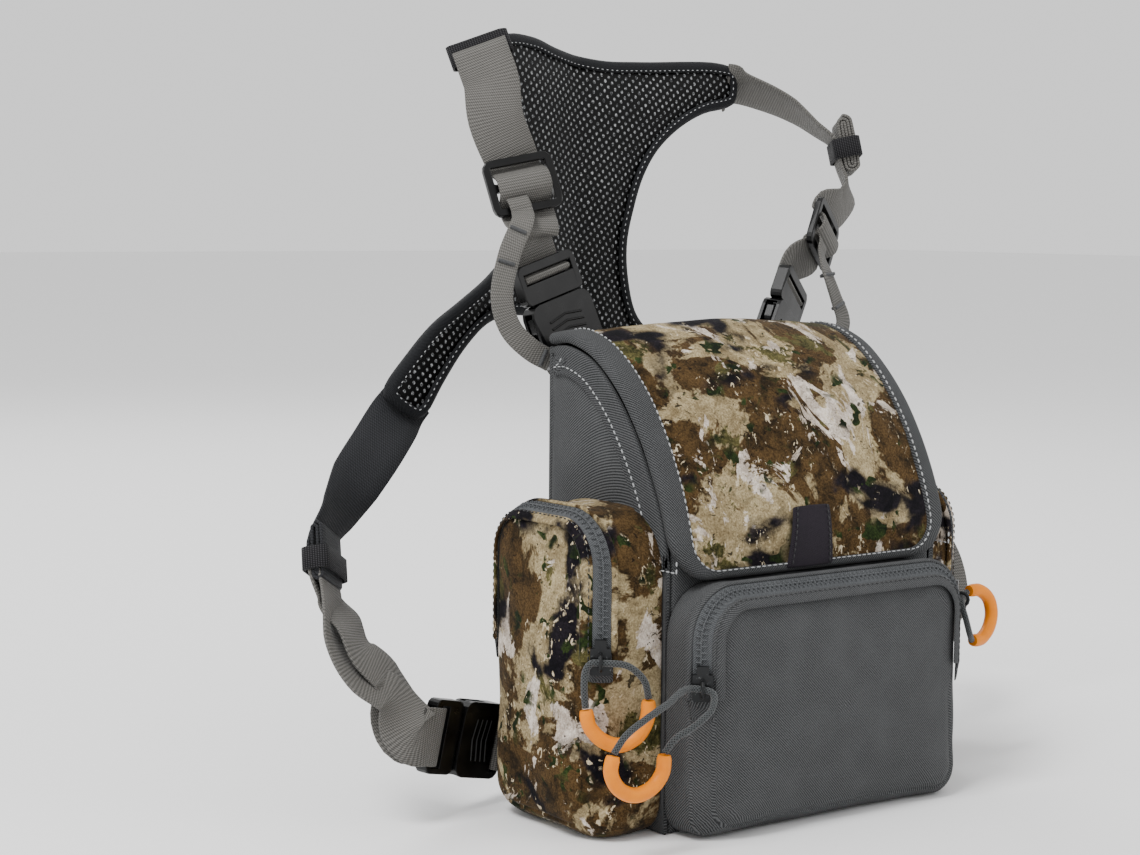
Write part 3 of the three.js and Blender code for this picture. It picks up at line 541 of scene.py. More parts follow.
def camo_cloth():
    """Brushed polyester printed with a made-up camouflage of earth, bark, leaf and shadow shapes."""
    surface = Surface("camo cloth", roughness=0.9, specular=0.1, sheen=0.04)
    body = surface.body_place()

    def field(size, shift, detail=3.0, rough=0.55, warp=0.6, stretch=(1, 1, 1)):
        return surface.noise(surface.shifted(surface.scaled(body, stretch), shift), size, detail, rough, warp)

    grain = surface.noise(body, 0.9, detail=2, rough=0.7)
    mottle = field(9, (40, 0, 0), detail=5, rough=0.7)
    tan = surface.mix(surface.step(mottle, 0.3, 0.7), colour("6f6045"), colour("a39472"))
    earth = surface.mix(surface.step(mottle, 0.3, 0.62), colour("1c150a"), colour("4a3820"))
    shade = surface.mix(surface.step(field(46, (7, 3, 11), detail=6, rough=0.62), 0.485, 0.515), tan, earth)
    olive = surface.mix(surface.step(mottle, 0.35, 0.65), colour("23240f"), colour("57512f"))
    shade = surface.mix(surface.step(field(30, (91, 17, 5), detail=6, rough=0.66), 0.565, 0.6), shade, olive)
    bark = surface.mix(surface.step(mottle, 0.4, 0.7), colour("a3978a"), colour("d8cdc0"))
    barks = field(33, (13, 71, 29), detail=7, rough=0.62, warp=0.9, stretch=(1.25, 1.0, 0.85))
    shade = surface.mix(surface.step(barks, 0.575, 0.592), shade, bark)
    shadow = surface.mix(surface.step(mottle, 0.35, 0.8), colour("050408"), colour("1f1a20"))
    shadows = field(34, (53, 9, 61), detail=4, rough=0.5, warp=0.3, stretch=(0.8, 1.0, 1.15))
    shade = surface.mix(surface.step(shadows, 0.53, 0.615), shade, shadow)
    leaf = surface.mix(surface.step(mottle, 0.35, 0.7), colour("0c1407"), colour("2a3717"))
    groups = surface.step(field(24, (5, 37, 83), detail=2), 0.5, 0.6)
    leaves = surface.step(field(8, (3, 1, 47), detail=2, rough=0.4, warp=0.9), 0.575, 0.595)
    shade = surface.mix(surface.math("MULTIPLY", groups, leaves), shade, leaf)
    chips = field(3.4, (9, 77, 3), detail=3, rough=0.5, warp=1.2, stretch=(1.3, 1, 0.7))
    chips = surface.step(chips, 0.625, 0.645)
    places = surface.step(field(20, (67, 2, 19), detail=2), 0.5, 0.58)
    shade = surface.mix(surface.math("MULTIPLY", chips, places), shade, colour("b9ab90"))
    twigs = field(4.2, (29, 8, 90), detail=4, rough=0.55, warp=1.4, stretch=(0.7, 1, 1.3))
    twigs = surface.step(twigs, 0.65, 0.67)
    shade = surface.mix(surface.math("MULTIPLY", twigs, 0.85), shade, colour("100b07"))
    speckle = surface.step(grain, 0.25, 0.8)
    shade = surface.mix(0.55, shade, surface.mix(speckle, colour("101010"), colour("ffffff")), "SOFT_LIGHT")
    surface.paint(shade)
    surface.relief(grain, 0.14)
    return surface.material


def webbing(name, dark, light):
    """Ribbed polyester webbing: fine ribs across it, slanting threads and firm edges."""
    surface = Surface(name, roughness=0.75, specular=0.2, sheen=0.05)
    place = surface.cloth_place()
    across, along, _ = surface.parts(place)
    ribs = surface.wave(along, 1.25)
    threads = surface.wave(surface.math("MULTIPLY_ADD", along, 0.5, across), 0.95)
    fibre = surface.noise(place, 0.6, detail=2)
    height = surface.math("MULTIPLY", surface.math("MULTIPLY_ADD", ribs, 0.45, 0.55),
                          surface.math("MULTIPLY_ADD", threads, 0.5, 0.5))
    tone = surface.math("MULTIPLY_ADD", height, 0.8, surface.math("MULTIPLY", fibre, 0.3))
    shade = surface.mix(surface.step(tone, 0.2, 0.95), colour(dark), colour(light))
    wear = surface.noise(surface.body_place(), 22, detail=3)
    worn = surface.math("MULTIPLY", surface.step(wear, 0.5, 0.8), 0.2)
    shade = surface.mix(worn, shade, colour(light))
    surface.paint(shade, surface.math("MULTIPLY_ADD", wear, 0.15, 0.64))
    surface.relief(height, 0.3)
    return surface.material


def elastic():
    """Knitted elastic: small upright stitches in rows."""
    surface = Surface("elastic", roughness=0.8, specular=0.15, sheen=0.05)
    across, along, _ = surface.parts(surface.cloth_place())
    knit = surface.math("MULTIPLY", surface.wave(across, 1.1), surface.wave(along, 0.8))
    surface.paint(surface.mix(surface.step(knit, 0.0, 0.8), colour("0e0e10"), colour("3b3a3c")))
    surface.relief(knit, 0.2)
    return surface.material


def air_mesh():
    """Black spacer mesh: slanting rows of raised oval cells, each with a painted highlight, a pale glint
    painted into its hole.
    """
    surface = Surface("air mesh", roughness=0.7, specular=0.15)
    x, _, z = surface.parts(surface.body_place())
    slant = surface.math("MULTIPLY_ADD", z, 0.62, x)
    rise = surface.math("MULTIPLY_ADD", x, -0.75, z)
    rows = surface.wave(rise, 4.2)
    ovals = surface.wave(slant, 3.6)
    cell = surface.math("MULTIPLY", rows, ovals)
    holes = surface.step(cell, 0.36, 0.62)
    # Painted highlight: pale grey glints painted into the cells' holes, varied by fine noise.
    glint_noise = surface.noise(surface.body_place(), 0.8, detail=2)
    painted_glint = surface.mix(surface.step(glint_noise, 0.35, 0.75), colour("303133"), colour("c4c6c8"))
    # The black mesh, with the painted highlight mixed in over its holes.
    shade = surface.mix(surface.math("MULTIPLY", holes, 0.8), colour("010101"), painted_glint)
    surface.paint(shade, surface.math("MULTIPLY_ADD", holes, 0.25, 0.5))
    surface.relief(surface.math("SUBTRACT", 1.0, holes), 0.7)
    return surface.material


def thread(name, code, worn):
    surface = Surface(name, roughness=0.6, specular=0.3, sheen=0.2)
    twist = surface.noise(surface.body_place(), 0.5, detail=1)
    surface.paint(surface.mix(twist, colour(code), colour(worn)))
    surface.relief(twist, 0.08)
    return surface.material


def black_plastic():
    """Moulded acetal: glossy with a faint flow pattern, rubbed a little paler."""
    surface = Surface("black plastic", roughness=0.3, specular=0.3)
    body = surface.body_place()
    flow = surface.noise(body, 6, detail=4)
    fine = surface.noise(body, 0.5, detail=2)
    surface.paint(surface.mix(surface.step(flow, 0.4, 0.8), colour("010101"), colour("060607")),
                  surface.math("MULTIPLY_ADD", flow, 0.22, 0.2))
    surface.relief(fine, 0.02)
    return surface.material


def coated_metal():
    """Dark coated zinc of the sliders, worn brighter where it rubs."""
    surface = Surface("coated metal", roughness=0.4, specular=0.5)
    body = surface.body_place()
    wear = surface.step(surface.noise(body, 2.2, detail=5, rough=0.7), 0.6, 0.72)
    surface.paint(surface.mix(wear, colour("1d1e1f"), colour("6f7173")),
                  surface.math("MULTIPLY_ADD", wear, -0.12, 0.42))
    surface.shader.inputs["Metallic"].default_value = 0.6
    surface.relief(surface.noise(body, 0.6, detail=2), 0.03)
    return surface.material


def bright_metal():
    surface = Surface("plated disc", roughness=0.28, specular=0.5)
    body = surface.body_place()
    surface.paint(surface.mix(surface.noise(body, 3, detail=4), colour("a9aaac"), colour("c9cacb")))
    surface.shader.inputs["Metallic"].default_value = 1.0
    surface.relief(surface.noise(surface.scaled(body, (1, 1, 8)), 1.5, detail=2), 0.02)
    return surface.material


def braid():
    """Braided cord: threads that cross in both directions round it."""
    surface = Surface("braided cord", roughness=0.75, specular=0.3, sheen=0.25)
    around, along, _ = surface.parts(surface.cloth_place())
    one = surface.wave(surface.math("ADD", around, along), 1.35)
    other = surface.wave(surface.math("SUBTRACT", around, along), 1.35)
    height = surface.math("MAXIMUM", one, other)
    surface.paint(surface.mix(surface.step(height, 0.4, 1.0), colour("0f1111"), colour("46494a")))
    surface.relief(height, 0.3)
    return surface.material


def orange_rubber():
    """Soft moulded rubber with a satin skin and faint handling marks."""
    surface = Surface("orange rubber", roughness=0.42, specular=0.22)
    body = surface.body_place()
    marks = surface.noise(body, 5, detail=5, rough=0.65)
    surface.paint(surface.mix(surface.step(marks, 0.3, 0.75), (0.74, 0.2, 0.0, 1.0), (0.8, 0.235, 0.0, 1.0)),
                  surface.math("MULTIPLY_ADD", marks, 0.2, 0.3))
    surface.relief(surface.noise(body, 0.9, detail=2), 0.04)
    return surface.material


def foam():
    surface = Surface("foam", roughness=0.9, specular=0.2)
    body = surface.body_place()
    pores = surface.cells(body, 1.4)
    surface.paint(surface.mix(surface.step(pores, 0.1, 0.6), colour("1d1e20"), colour("37383b")))
    surface.relief(pores, 0.25)
    return surface.material


GREY = woven_cloth("grey cloth", "1e1f20", "5c5d5e", pitch=1.25)
DARK_GREY = woven_cloth("grey twill", "1b1c1d", "555657", pitch=1.45)
LINING = woven_cloth("lining", "1b1c1e", "343537", pitch=0.8, roughness=0.6)
TAPE = woven_cloth("zip tape", "2a2c2e", "646668", pitch=1.0, roughness=0.75)
DARK_EDGE = woven_cloth("black edging", "08090a", "26272a", pitch=0.9, roughness=0.7)
PULL_TAB = woven_cloth("pull tab", "0e0b10", "2a242c", pitch=0.9, roughness=0.6)
CAMO = camo_cloth()
GREY_WEBBING = webbing("grey webbing", "2e2d2b", "706e6a")
BLACK_WEBBING = webbing("black webbing", "08090a", "2c2d30")
ELASTIC = elastic()
AIR_MESH = air_mesh()
GREY_THREAD = thread("grey thread", "85878a", "b4b5b5")
BAR_THREAD = thread("tack thread", "2a2b2c", "4c4d4e")
DARK_THREAD = thread("dark thread", "151617", "2c2d2e")
BLACK_PLASTIC = black_plastic()
SLIDER_METAL = coated_metal()
DISC_METAL = bright_metal()
BRAID = braid()
ORANGE = orange_rubber()
FOAM = foam()


def finish_node(node, material, bevel):
    """Gives a CAD node its material, and rounds its edges a little."""
    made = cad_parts[node]
    made.data.materials.clear()
    made.data.materials.append(material)
    weld(made, 0.02)
    edge = made.modifiers.new("Edge", "BEVEL")
    edge.width = bevel * MM
    edge.segments = 2
    edge.limit_method = "ANGLE"
    edge.angle_limit = math.radians(35)


# ---- camera ----
CAMERA_PLACE = (-0.6870, -0.8083, 0.1566)
CAMERA_AZIMUTH = -37.5
CAMERA_ELEVATION = 5.3
CAMERA_ROLL = 0.5
CAMERA_LENS = 73.1


def add_camera():
    data = bpy.data.cameras.new("Camera")
    data.lens = CAMERA_LENS
    data.sensor_width = 36
    made = bpy.data.objects.new("Camera", data)
    azimuth = math.radians(CAMERA_AZIMUTH)
    elevation = math.radians(CAMERA_ELEVATION)
    back = Vector((
        math.sin(azimuth) * math.cos(elevation),
        -math.cos(azimuth) * math.cos(elevation),
        math.sin(elevation),
    ))
    turned = (-back).to_track_quat("-Z", "Y").to_matrix().to_4x4()
    roll = Matrix.Rotation(math.radians(CAMERA_ROLL), 4, "Z")
    made.matrix_world = Matrix.Translation(CAMERA_PLACE) @ turned @ roll
    bpy.context.scene.collection.objects.link(made)
    bpy.context.scene.camera = made


add_camera()

# ---- pull cords and their grips ----
# The routes are the pack's own, in metres.
PULLS = {
    "front": {
        "place": (-75.8, -102.4, 66),
        "facing": (-0.66, -0.75, 0),
        "cord": [
            (-0.1240, -0.1050, -0.0565),
            (-0.1190, -0.1060, -0.0500),
            (-0.1090, -0.1070, -0.0440),
            (-0.0970, -0.1060, -0.0395),
            (-0.0880, -0.1035, -0.0362),
            (-0.0830, -0.1027, -0.0357),
            (-0.0790, -0.1061, -0.0360),
            (-0.0762, -0.1094, -0.0375),
            (-0.0790, -0.1120, -0.0430),
            (-0.0870, -0.1110, -0.0490),
            (-0.0950, -0.1080, -0.0540),
            (-0.0980, -0.1055, -0.0595),
        ],
        "grip": [
            (-0.1244, -0.1050, -0.0575),
            (-0.1255, -0.1050, -0.0640),
            (-0.1215, -0.1050, -0.0710),
            (-0.1130, -0.1050, -0.0750),
            (-0.1040, -0.1050, -0.0730),
            (-0.0990, -0.1052, -0.0675),
            (-0.0983, -0.1055, -0.0605),
        ],
    },
    "left": {
        "place": (-110.6, -78.9, 77),
        "facing": (-0.62, -0.78, 0),
        "cord": [
            (-0.1193, -0.0805, -0.0430),
            (-0.1200, -0.0803, -0.0350),
            (-0.1188, -0.0796, -0.0280),
            (-0.1166, -0.0806, -0.0250),
            (-0.1136, -0.0827, -0.0250),
            (-0.1105, -0.0854, -0.0250),
            (-0.1050, -0.0900, -0.0260),
            (-0.0995, -0.0936, -0.0320),
            (-0.0970, -0.0934, -0.0395),
        ],
        "grip": [
            (-0.1192, -0.0806, -0.0440),
            (-0.1182, -0.0816, -0.0505),
            (-0.1135, -0.0844, -0.0565),
            (-0.1070, -0.0873, -0.0588),
            (-0.1005, -0.0906, -0.0555),
            (-0.0972, -0.0928, -0.0485),
            (-0.0969, -0.0934, -0.0405),
        ],
    },
    "right": {
        "place": (103.6, -70.9, 81),
        "facing": (0.62, -0.78, 0),
        "cord": [
            (0.1140, -0.0712, -0.0185),
            (0.1104, -0.0718, -0.0200),
            (0.1066, -0.0747, -0.0210),
            (0.1034, -0.0778, -0.0230),
            (0.1036, -0.0800, -0.0285),
            (0.1075, -0.0790, -0.0360),
            (0.1135, -0.0750, -0.0408),
        ],
        "grip": [
            (0.1150, -0.0712, -0.0182),
            (0.1220, -0.0710, -0.0185),
            (0.1286, -0.0710, -0.0230),
            (0.1306, -0.0714, -0.0300),
            (0.1280, -0.0722, -0.0368),
            (0.1220, -0.0732, -0.0412),
            (0.1146, -0.0746, -0.0412),
        ],
    },
}


def line_through(places, spacing):
    route = Route([from_frame(place) for place in places], power=0.5)
    count = max(int(route.length / spacing), 4)
    return [route.at(route.length * step / count)[0] for step in range(count + 1)]


def add_pull(name):
    pull = PULLS[name]
    grip_line = line_through(pull["grip"], 1.0)
    grip = Shape()
    rings = []
    for index, ring in enumerate(tube_rings(grip_line, GRIP_DIAMETER / 2, 16)):
        end = min(index, len(grip_line) - 1 - index)
        swell = 0.86 + 0.14 * smooth_step(end / 1.6)
        swell *= 1.0 + 0.04 * math.sin(math.pi * index / (len(grip_line) - 1))
        rings.append([grip_line[index] + (point - grip_line[index]) * swell for point in ring])
    grip.loft(rings)
    grip_piece = grip.build(
        f"{name}_grip", ORANGE, f"{name}_pull", "orange_grip", [f"{name}_pull_grip"], sharp=50
    )
    line = line_through(pull["cord"], 0.8)
    cord = Shape()
    cord.tube(line, CORD_DIAMETER / 2 - 0.06, 12)
    cord_piece = cord.build(f"{name}_cord", BRAID, f"{name}_pull", "cord", [f"{name}_pull_cord"], sharp=50)


for pull_name in PULLS:
    add_pull(pull_name)
    finish_node(f"{pull_name}_slider", SLIDER_METAL, bevel=0.5)

# ---- lid ----
lid_profile = Route([(0, y, z) for y, z in LID_PROFILE], steps=40)


def lid_point(x, distance, height):
    """A place on the lid: across the pack, down from the hinge, and out from the lid's outer face."""
    base, way = lid_profile.at(distance)
    overshoot = distance - min(max(distance, 0.0), lid_profile.length)
    outward = Vector((0, way.z, -way.y))
    share = distance / lid_profile.length
    width = max(1 - (x / HALF_WIDTH) ** 2, 0.0)
    crown = LID_CROWN * width * smooth_step(share / 0.16) * (1 - 0.75 * smooth_step((share - 0.45) / 0.5))
    return Vector((x, base.y, base.z)) + way * overshoot + outward * (height + crown)


def lid_normal(x, distance):
    along = lid_point(x, distance + 1, 0) - lid_point(x, distance - 1, 0)
    across = lid_point(x + 1, distance, 0) - lid_point(x - 1, distance, 0)
    outward = lid_point(x, distance, 1) - lid_point(x, distance, 0)
    normal = along.cross(across).normalized()
    return normal if normal.dot(outward) > 0 else -normal


def lid_edge(side_inset, end_inset, radius):
    """An edge of the lid as places across and down it: left side, lower corners, right side."""
    side = HALF_WIDTH - side_inset
    straight = lid_profile.length - end_inset - radius
    down = [(-side, straight * row / 48) for row in range(48)]
    corner = [
        (-side + radius * (1 - math.cos(angle)), straight + radius * math.sin(angle))
        for angle in (step * math.pi / 24 for step in range(13))
    ]
    left = down + corner
    middle = [(x, straight + radius) for x in (-40, -20, 0, 20, 40)]
    right = [(-x, distance) for x, distance in reversed(left)]
    return left + middle + right


def edging_place(outer, inner, share):
    """Across and down the lid, that share of the way out from its binding's inner edge."""
    return mixed(inner[0], outer[0], share), mixed(inner[1], outer[1], share)


def edging_point(outer, inner, share, height):
    """A place on the lid's binding, which sways a little in and out along the edge."""
    x, distance = edging_place(outer, inner, share)
    sway = noise.noise(Vector((x / 20, distance / 18, 1.7))) * 0.3
    return lid_point(x, distance, height + sway)


# The binding's section: the share of the way out from its inner edge, and the height over the lid.
BINDING_SECTION = [
    (0.0, -0.4), (0.03, 0.55), (0.12, 0.9), (0.4, 1.15), (0.75, 1.0), (1.0, 0.5), (1.12, -0.7),
    (1.15, -2.2), (1.1, -3.6), (0.98, -4.5), (0.6, -4.75), (0.2, -4.7), (0.05, -4.2),
]
BINDING_SEAM = 0.13


def add_lid():
    outer_edge = lid_edge(0, 0, LID_CORNER_RADIUS)
    inner_edge = lid_edge(LID_EDGE_WIDTH, LID_HEM_WIDTH, LID_INNER_RADIUS)
    panel = Shape()
    rows, columns = 56, 36
    inset = 3.0
    length = lid_profile.length - inset
    radius = LID_CORNER_RADIUS - inset
    rings = []
    for row in range(rows + 1):
        distance = length * math.sin(math.pi / 2 * row / rows)
        past = max(distance - (length - radius), 0)
        half = HALF_WIDTH - inset - radius + math.sqrt(max(radius * radius - past * past, 0))
        ring = []
        for column in range(columns + 1):
            x = -half * math.cos(math.pi * column / columns)
            edge = min(HALF_WIDTH - inset - abs(x), length - distance) / 12
            dip = -1.1 * (1 - smooth_step(edge))
            lump = noise.noise(Vector((x / 34, distance / 30, 3.1))) * 0.9
            lump += noise.noise(Vector((x / 12, distance / 15, 8.7))) * 0.25
            ring.append(lid_point(x, distance, dip + lump * smooth_step(edge)))
        rings.append(list(reversed(ring)))
    panel.loft(rings, closed=False)
    made = panel.build("lid_camo", [CAMO, LINING], "lid", "camo_cloth", ["lid_panel"])
    refine(made, LID_THICKNESS - 0.6)
    made.modifiers["Thickness"].material_offset = 1

    binding = Shape()
    sewing = Shape()
    rings, places, normals = [], [], []
    for outer, inner in zip(outer_edge, inner_edge):
        rings.append([edging_point(outer, inner, share, height) for share, height in BINDING_SECTION])
        places.append(edging_point(outer, inner, BINDING_SEAM, 1.05))
        normals.append(lid_normal(*edging_place(outer, inner, BINDING_SEAM)))
    binding.loft(rings)
    refine(binding.build("lid_edging", DARK_GREY, "lid", "grey_cloth", ["lid_binding"]))

    stitches(sewing, places, normals)
    sewing.build("lid_stitching", GREY_THREAD, "lid", "grey_cloth")


TAB_CENTRE = -4
TAB_ROWS = 24
# The tab's section: the share of the way across it, and the height over the lid.
TAB_SECTION = [(0.0, -0.4), (0.0, 0.4), (0.05, 1.0), (0.5, 1.3), (0.95, 1.0), (1.0, 0.4), (1.0, -0.4)]


def tab_point(row, u, height):
    """A place on the pull tab, which widens to the left as it goes down and lifts in its middle."""
    share = row / TAB_ROWS
    distance = lid_profile.length * mixed(0.82, 0.995, share)
    left = TAB_CENTRE - 9.5 - share * 7.2
    right = TAB_CENTRE + 12 - share * 1.2
    lift = 1.2 + 0.5 * math.sin(math.pi * share)
    return lid_point(mixed(left, right, u), distance, lift * 0.7 + height)


def add_lid_tab():
    """The folded pull tab sewn over the lid's lower edge."""
    tab = Shape()
    tab.loft([[tab_point(row, u, v) for u, v in TAB_SECTION] for row in range(TAB_ROWS + 1)])
    refine(tab.build("pull_tab", PULL_TAB, "lid", "pull_tab", ["lid_pull_tab"], sharp=60))
    seam = Shape()
    for u in (0.1, 0.9):
        places = [tab_point(row, u, 1.15) for row in range(TAB_ROWS + 1)]
        normals = [lid_normal(0, lid_profile.length * 0.9)] * len(places)
        stitches(seam, places, normals, pitch=2.6, length=1.7, width=0.4)
    seam.build("pull_tab_stitching", DARK_THREAD, "lid", "pull_tab")


add_lid()
add_lid_tab()
finish_node("lid_magnet", DISC_METAL, bevel=0.3)
finish_node("body_magnet", DISC_METAL, bevel=0.3)


# ---- body ----
def soft_slab(name, node, material, slot, thin, bulge=0.0, round_edge=1.4, rows=24, columns=24):
    """A flat sewn panel in its node's space, thin along axis 0, 1 or 2, that swells between its edges."""
    low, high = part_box(node)
    low, high = from_frame(low), from_frame(high)
    first, second = [axis for axis in range(3) if axis != thin]
    half = (high[thin] - low[thin]) / 2
    slab = Shape()
    sheets = []
    for side in (1, -1):
        sheet = []
        for row in range(rows + 1):
            line = []
            for column in range(columns + 1):
                u = 0.5 - 0.5 * math.cos(math.pi * column / columns)
                v = 0.5 - 0.5 * math.cos(math.pi * row / rows)
                place = Vector((0, 0, 0))
                place[first] = mixed(low[first], high[first], u)
                place[second] = mixed(low[second], high[second], v)
                edge = min(
                    place[first] - low[first], high[first] - place[first],
                    place[second] - low[second], high[second] - place[second],
                )
                rounding = math.sqrt(max(1 - (1 - min(edge / round_edge, 1)) ** 2, 0))
                lump = noise.noise(Vector(place) / 28 + Vector((side * 5, 0, 0))) * 0.25
                swell = (bulge * math.sin(math.pi * u) * math.sin(math.pi * v) + lump) * smooth_step(edge / 8)
                place[thin] = (low[thin] + high[thin]) / 2 + side * (half * rounding + swell)
                place.z = max(place.z, 0.0)
                line.append(place)
            sheet.append(line)
        sheets.append(sheet)
    faces = []
    count = columns + 1
    total = (rows + 1) * count
    for row in range(rows):
        for column in range(columns):
            here = row * count + column
            faces.append([here, here + 1, here + count + 1, here + count])
            faces.append([total + here, total + here + count, total + here + count + 1, total + here + 1])
    points = [point for sheet in sheets for line in sheet for point in line]
    slab.add(points, faces)
    made = slab.build(name, material, "pack", slot, [node])
    weld(made, 0.2)
    return made


SIDE_CLEARANCE = 6.5
SIDE_THICKNESS = 2.6
SIDE_SWELL = 2.6
SIDE_SWELL_TOP = 196
SIDE_BACK = -3.3
FACING_WIDTH = 11.5
# The facing's section: how far in from the panel's edge, and how far out from the panel.
FACING_SECTION = [
    (-0.9, -1.6), (-1.1, -0.4), (-0.6, 0.6), (2.0, 0.8), (FACING_WIDTH - 2.5, 0.8),
    (FACING_WIDTH - 0.8, 1.35), (FACING_WIDTH, 1.1), (FACING_WIDTH + 0.4, 0.1),
    (FACING_WIDTH, -0.8), (4.0, -0.9),
]


def side_top():
    """The side panel's top edge from the back to the front, under the lid."""
    edge = []
    for step in range(61):
        distance = lid_profile.length * step / 60
        base, way = lid_profile.at(distance)
        place = base - Vector((0, way.z, -way.y)) * SIDE_CLEARANCE
        if -PACK_DEPTH < place.y < -3.4:
            edge.append(place)
    edge.append(Vector((0, -PACK_DEPTH, 118)))
    return [Vector((0, SIDE_BACK, BODY_TOP - 2.6)), *edge]


def height_at(edge, y):
    for before, after in zip(edge, edge[1:]):
        if after.y <= y:
            return mixed(before.z, after.z, (before.y - y) / max(before.y - after.y, 1e-6))
    return edge[-1].z


def side_point(side, y, z, height):
    """A place on a side panel, which swells a little towards its middle."""
    along = math.sin(math.pi * min(max(-y / PACK_DEPTH, 0), 1))
    upward = math.sin(math.pi * min(max(z / SIDE_SWELL_TOP, 0), 1)) ** 0.6
    swell = SIDE_SWELL * along * upward
    lump = noise.noise(Vector((y / 26, z / 26, side * 4.0))) * 0.5
    return Vector((side * (HALF_WIDTH + swell + lump + height), y, z))


def add_side_panel(name, side):
    top = side_top()
    panel = Shape()
    rows, columns = 40, 36
    rings = []
    for column in range(columns + 1):
        share = column / columns
        y = mixed(SIDE_BACK, -PACK_DEPTH, math.sin(math.pi / 2 * share))
        height = height_at(top, y)
        rings.append([side_point(side, y, height * row / rows, 0.0) for row in range(rows + 1)])
    panel.loft(rings if side > 0 else [list(reversed(ring)) for ring in rings], closed=False)
    made = panel.build(f"{name}_side_cloth", GREY, "pack", "grey_cloth", [f"{name}_side_panel"])
    refine(made, SIDE_THICKNESS)

    route = Route(top, steps=6)
    facing = Shape()
    sewing = Shape()
    rings, places, normals = [], [], []
    count = 90
    for step in range(count + 1):
        point, way = route.at(route.length * step / count)
        inward = Vector((0, way.z, -way.y))
        if inward.z > 0:
            inward = -inward
        ring = []
        for inset, height in FACING_SECTION:
            place = point + inward * inset
            ring.append(side_point(side, max(place.y, -PACK_DEPTH), place.z, height))
        rings.append(ring)
        place = point + inward * (FACING_WIDTH - 3.4)
        places.append(side_point(side, place.y, place.z, 0.95))
        normals.append(Vector((side, 0, 0)))
    facing.loft(rings)
    facing.build(f"{name}_side_facing", DARK_GREY, "pack", "grey_cloth", sharp=60)
    stitches(sewing, places, normals)
    sewing.build(f"{name}_side_stitching", GREY_THREAD, "pack", "grey_cloth")


def add_body():
    soft_slab("back_cloth", "back_panel", GREY, "grey_cloth", thin=1, rows=36, columns=30)
    soft_slab("front_cloth", "front_panel", GREY, "grey_cloth", thin=1)
    soft_slab("base_cloth", "base_panel", GREY, "grey_cloth", thin=2)
    pad = soft_slab("base_padding", "base_pad", FOAM, "foam", thin=2, bulge=0.8, round_edge=2.4)
    for name, side in (("left", -1), ("right", 1)):
        add_side_panel(name, side)


SEAM_RADIUS = 1.6
SEAM_HEIGHTS = range(4, 200, 8)


def add_corner_seams():
    """The bound seams inside the pack, where the side panels meet the back panel."""
    seams = Shape()
    for side in (-1, 1):
        x = side * (HALF_WIDTH - 1.7)
        seams.tube([Vector((x, -3.7, z)) for z in SEAM_HEIGHTS], SEAM_RADIUS, 10)
    seams.build("corner_seams", GREY, "pack", "grey_cloth", sharp=60)


# The hinge cloth's line, from inside the back panel's top over to the lid.
HINGE_LINE = [(0, -1.5, 195), (0, -1.5, 199), (0, -2.0, 201.6), (0, -4.5, 203.2), (0, -8.5, 204)]
HINGE_HALF_THICKNESS = 0.7
HINGE_ROWS = 16


def add_lid_hinge():
    """The cloth that joins the lid's back edge to the top of the back panel."""
    route = Route(HINGE_LINE)
    reach = HALF_WIDTH - 4
    columns = [reach * step / 10 for step in range(-10, 11)]
    rings = []
    for step in range(HINGE_ROWS + 1):
        base, way = route.at(route.length * step / HINGE_ROWS)
        outward = Vector((0, way.z, -way.y)) * HINGE_HALF_THICKNESS
        outer = [Vector((x, base.y, base.z)) + outward for x in columns]
        inner = [Vector((x, base.y, base.z)) - outward for x in reversed(columns)]
        rings.append(outer + inner)
    cloth = Shape()
    cloth.loft(rings)
    made = cloth.build("lid_hinge_cloth", GREY, None, "grey_cloth", sharp=60)
    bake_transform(made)


add_body()
add_corner_seams()
add_lid_hinge()


# ---- pockets and zips ----
def rounded_outline(left, right, low, high, low_radius, high_radius, corner_steps=8):
    corners = [
        (right - low_radius, low + low_radius, low_radius, -90),
        (right - high_radius, high - high_radius, high_radius, 0),
        (left + high_radius, high - high_radius, high_radius, 90),
        (left + low_radius, low + low_radius, low_radius, 180),
    ]
    outline = []
    for u, v, radius, start in corners:
        for step in range(corner_steps + 1):
            angle = math.radians(start + 90 * step / corner_steps)
            outline.append((u + radius * math.cos(angle), v + radius * math.sin(angle)))
    return outline


def front_ring(out, inset):
    outline = rounded_outline(
        -HALF_WIDTH + inset, HALF_WIDTH - inset, inset * 0.6, FRONT_POCKET_HEIGHT - inset * 0.8,
        max(12 - inset * 0.3, 3), max(22 - inset * 0.8, 6),
    )
    return [Vector((x, -PACK_DEPTH - out, z)) for x, z in outline]


def side_ring(side, front, out, inset):
    outline = rounded_outline(
        front + inset * 0.8, SIDE_POCKET_BACK - inset * 0.6, inset * 0.6, SIDE_POCKET_HEIGHT - inset * 0.6,
        max(14 - inset * 0.3, 3), max(26 - inset, 6),
    )
    return [Vector((side * (HALF_WIDTH + out), y, z)) for y, z in outline]


def evenly(outline, count):
    """A closed outline's points spread evenly, from the middle of its underside."""
    start = (outline[0] + outline[-1]) / 2
    return spread_evenly([start, *outline, start], count)


POCKET_THICKNESS = 1.6
# The rings of a pocket that are sewn down: where it joins the body, and the chamfer's two edges.
JOIN_ROW, GUSSET_ROW, FACE_ROW = 0, 6, 10
GUSSET_SHARES = (0, 0.15, 0.35, 0.55, 0.75, 0.92, 1.0)
CHAMFER_SHARES = (0.08, 0.5, 0.92, 1.0)
FACE_SHARES = (0.12, 0.26, 0.4, 0.54, 0.68, 0.81, 0.92, 0.98)


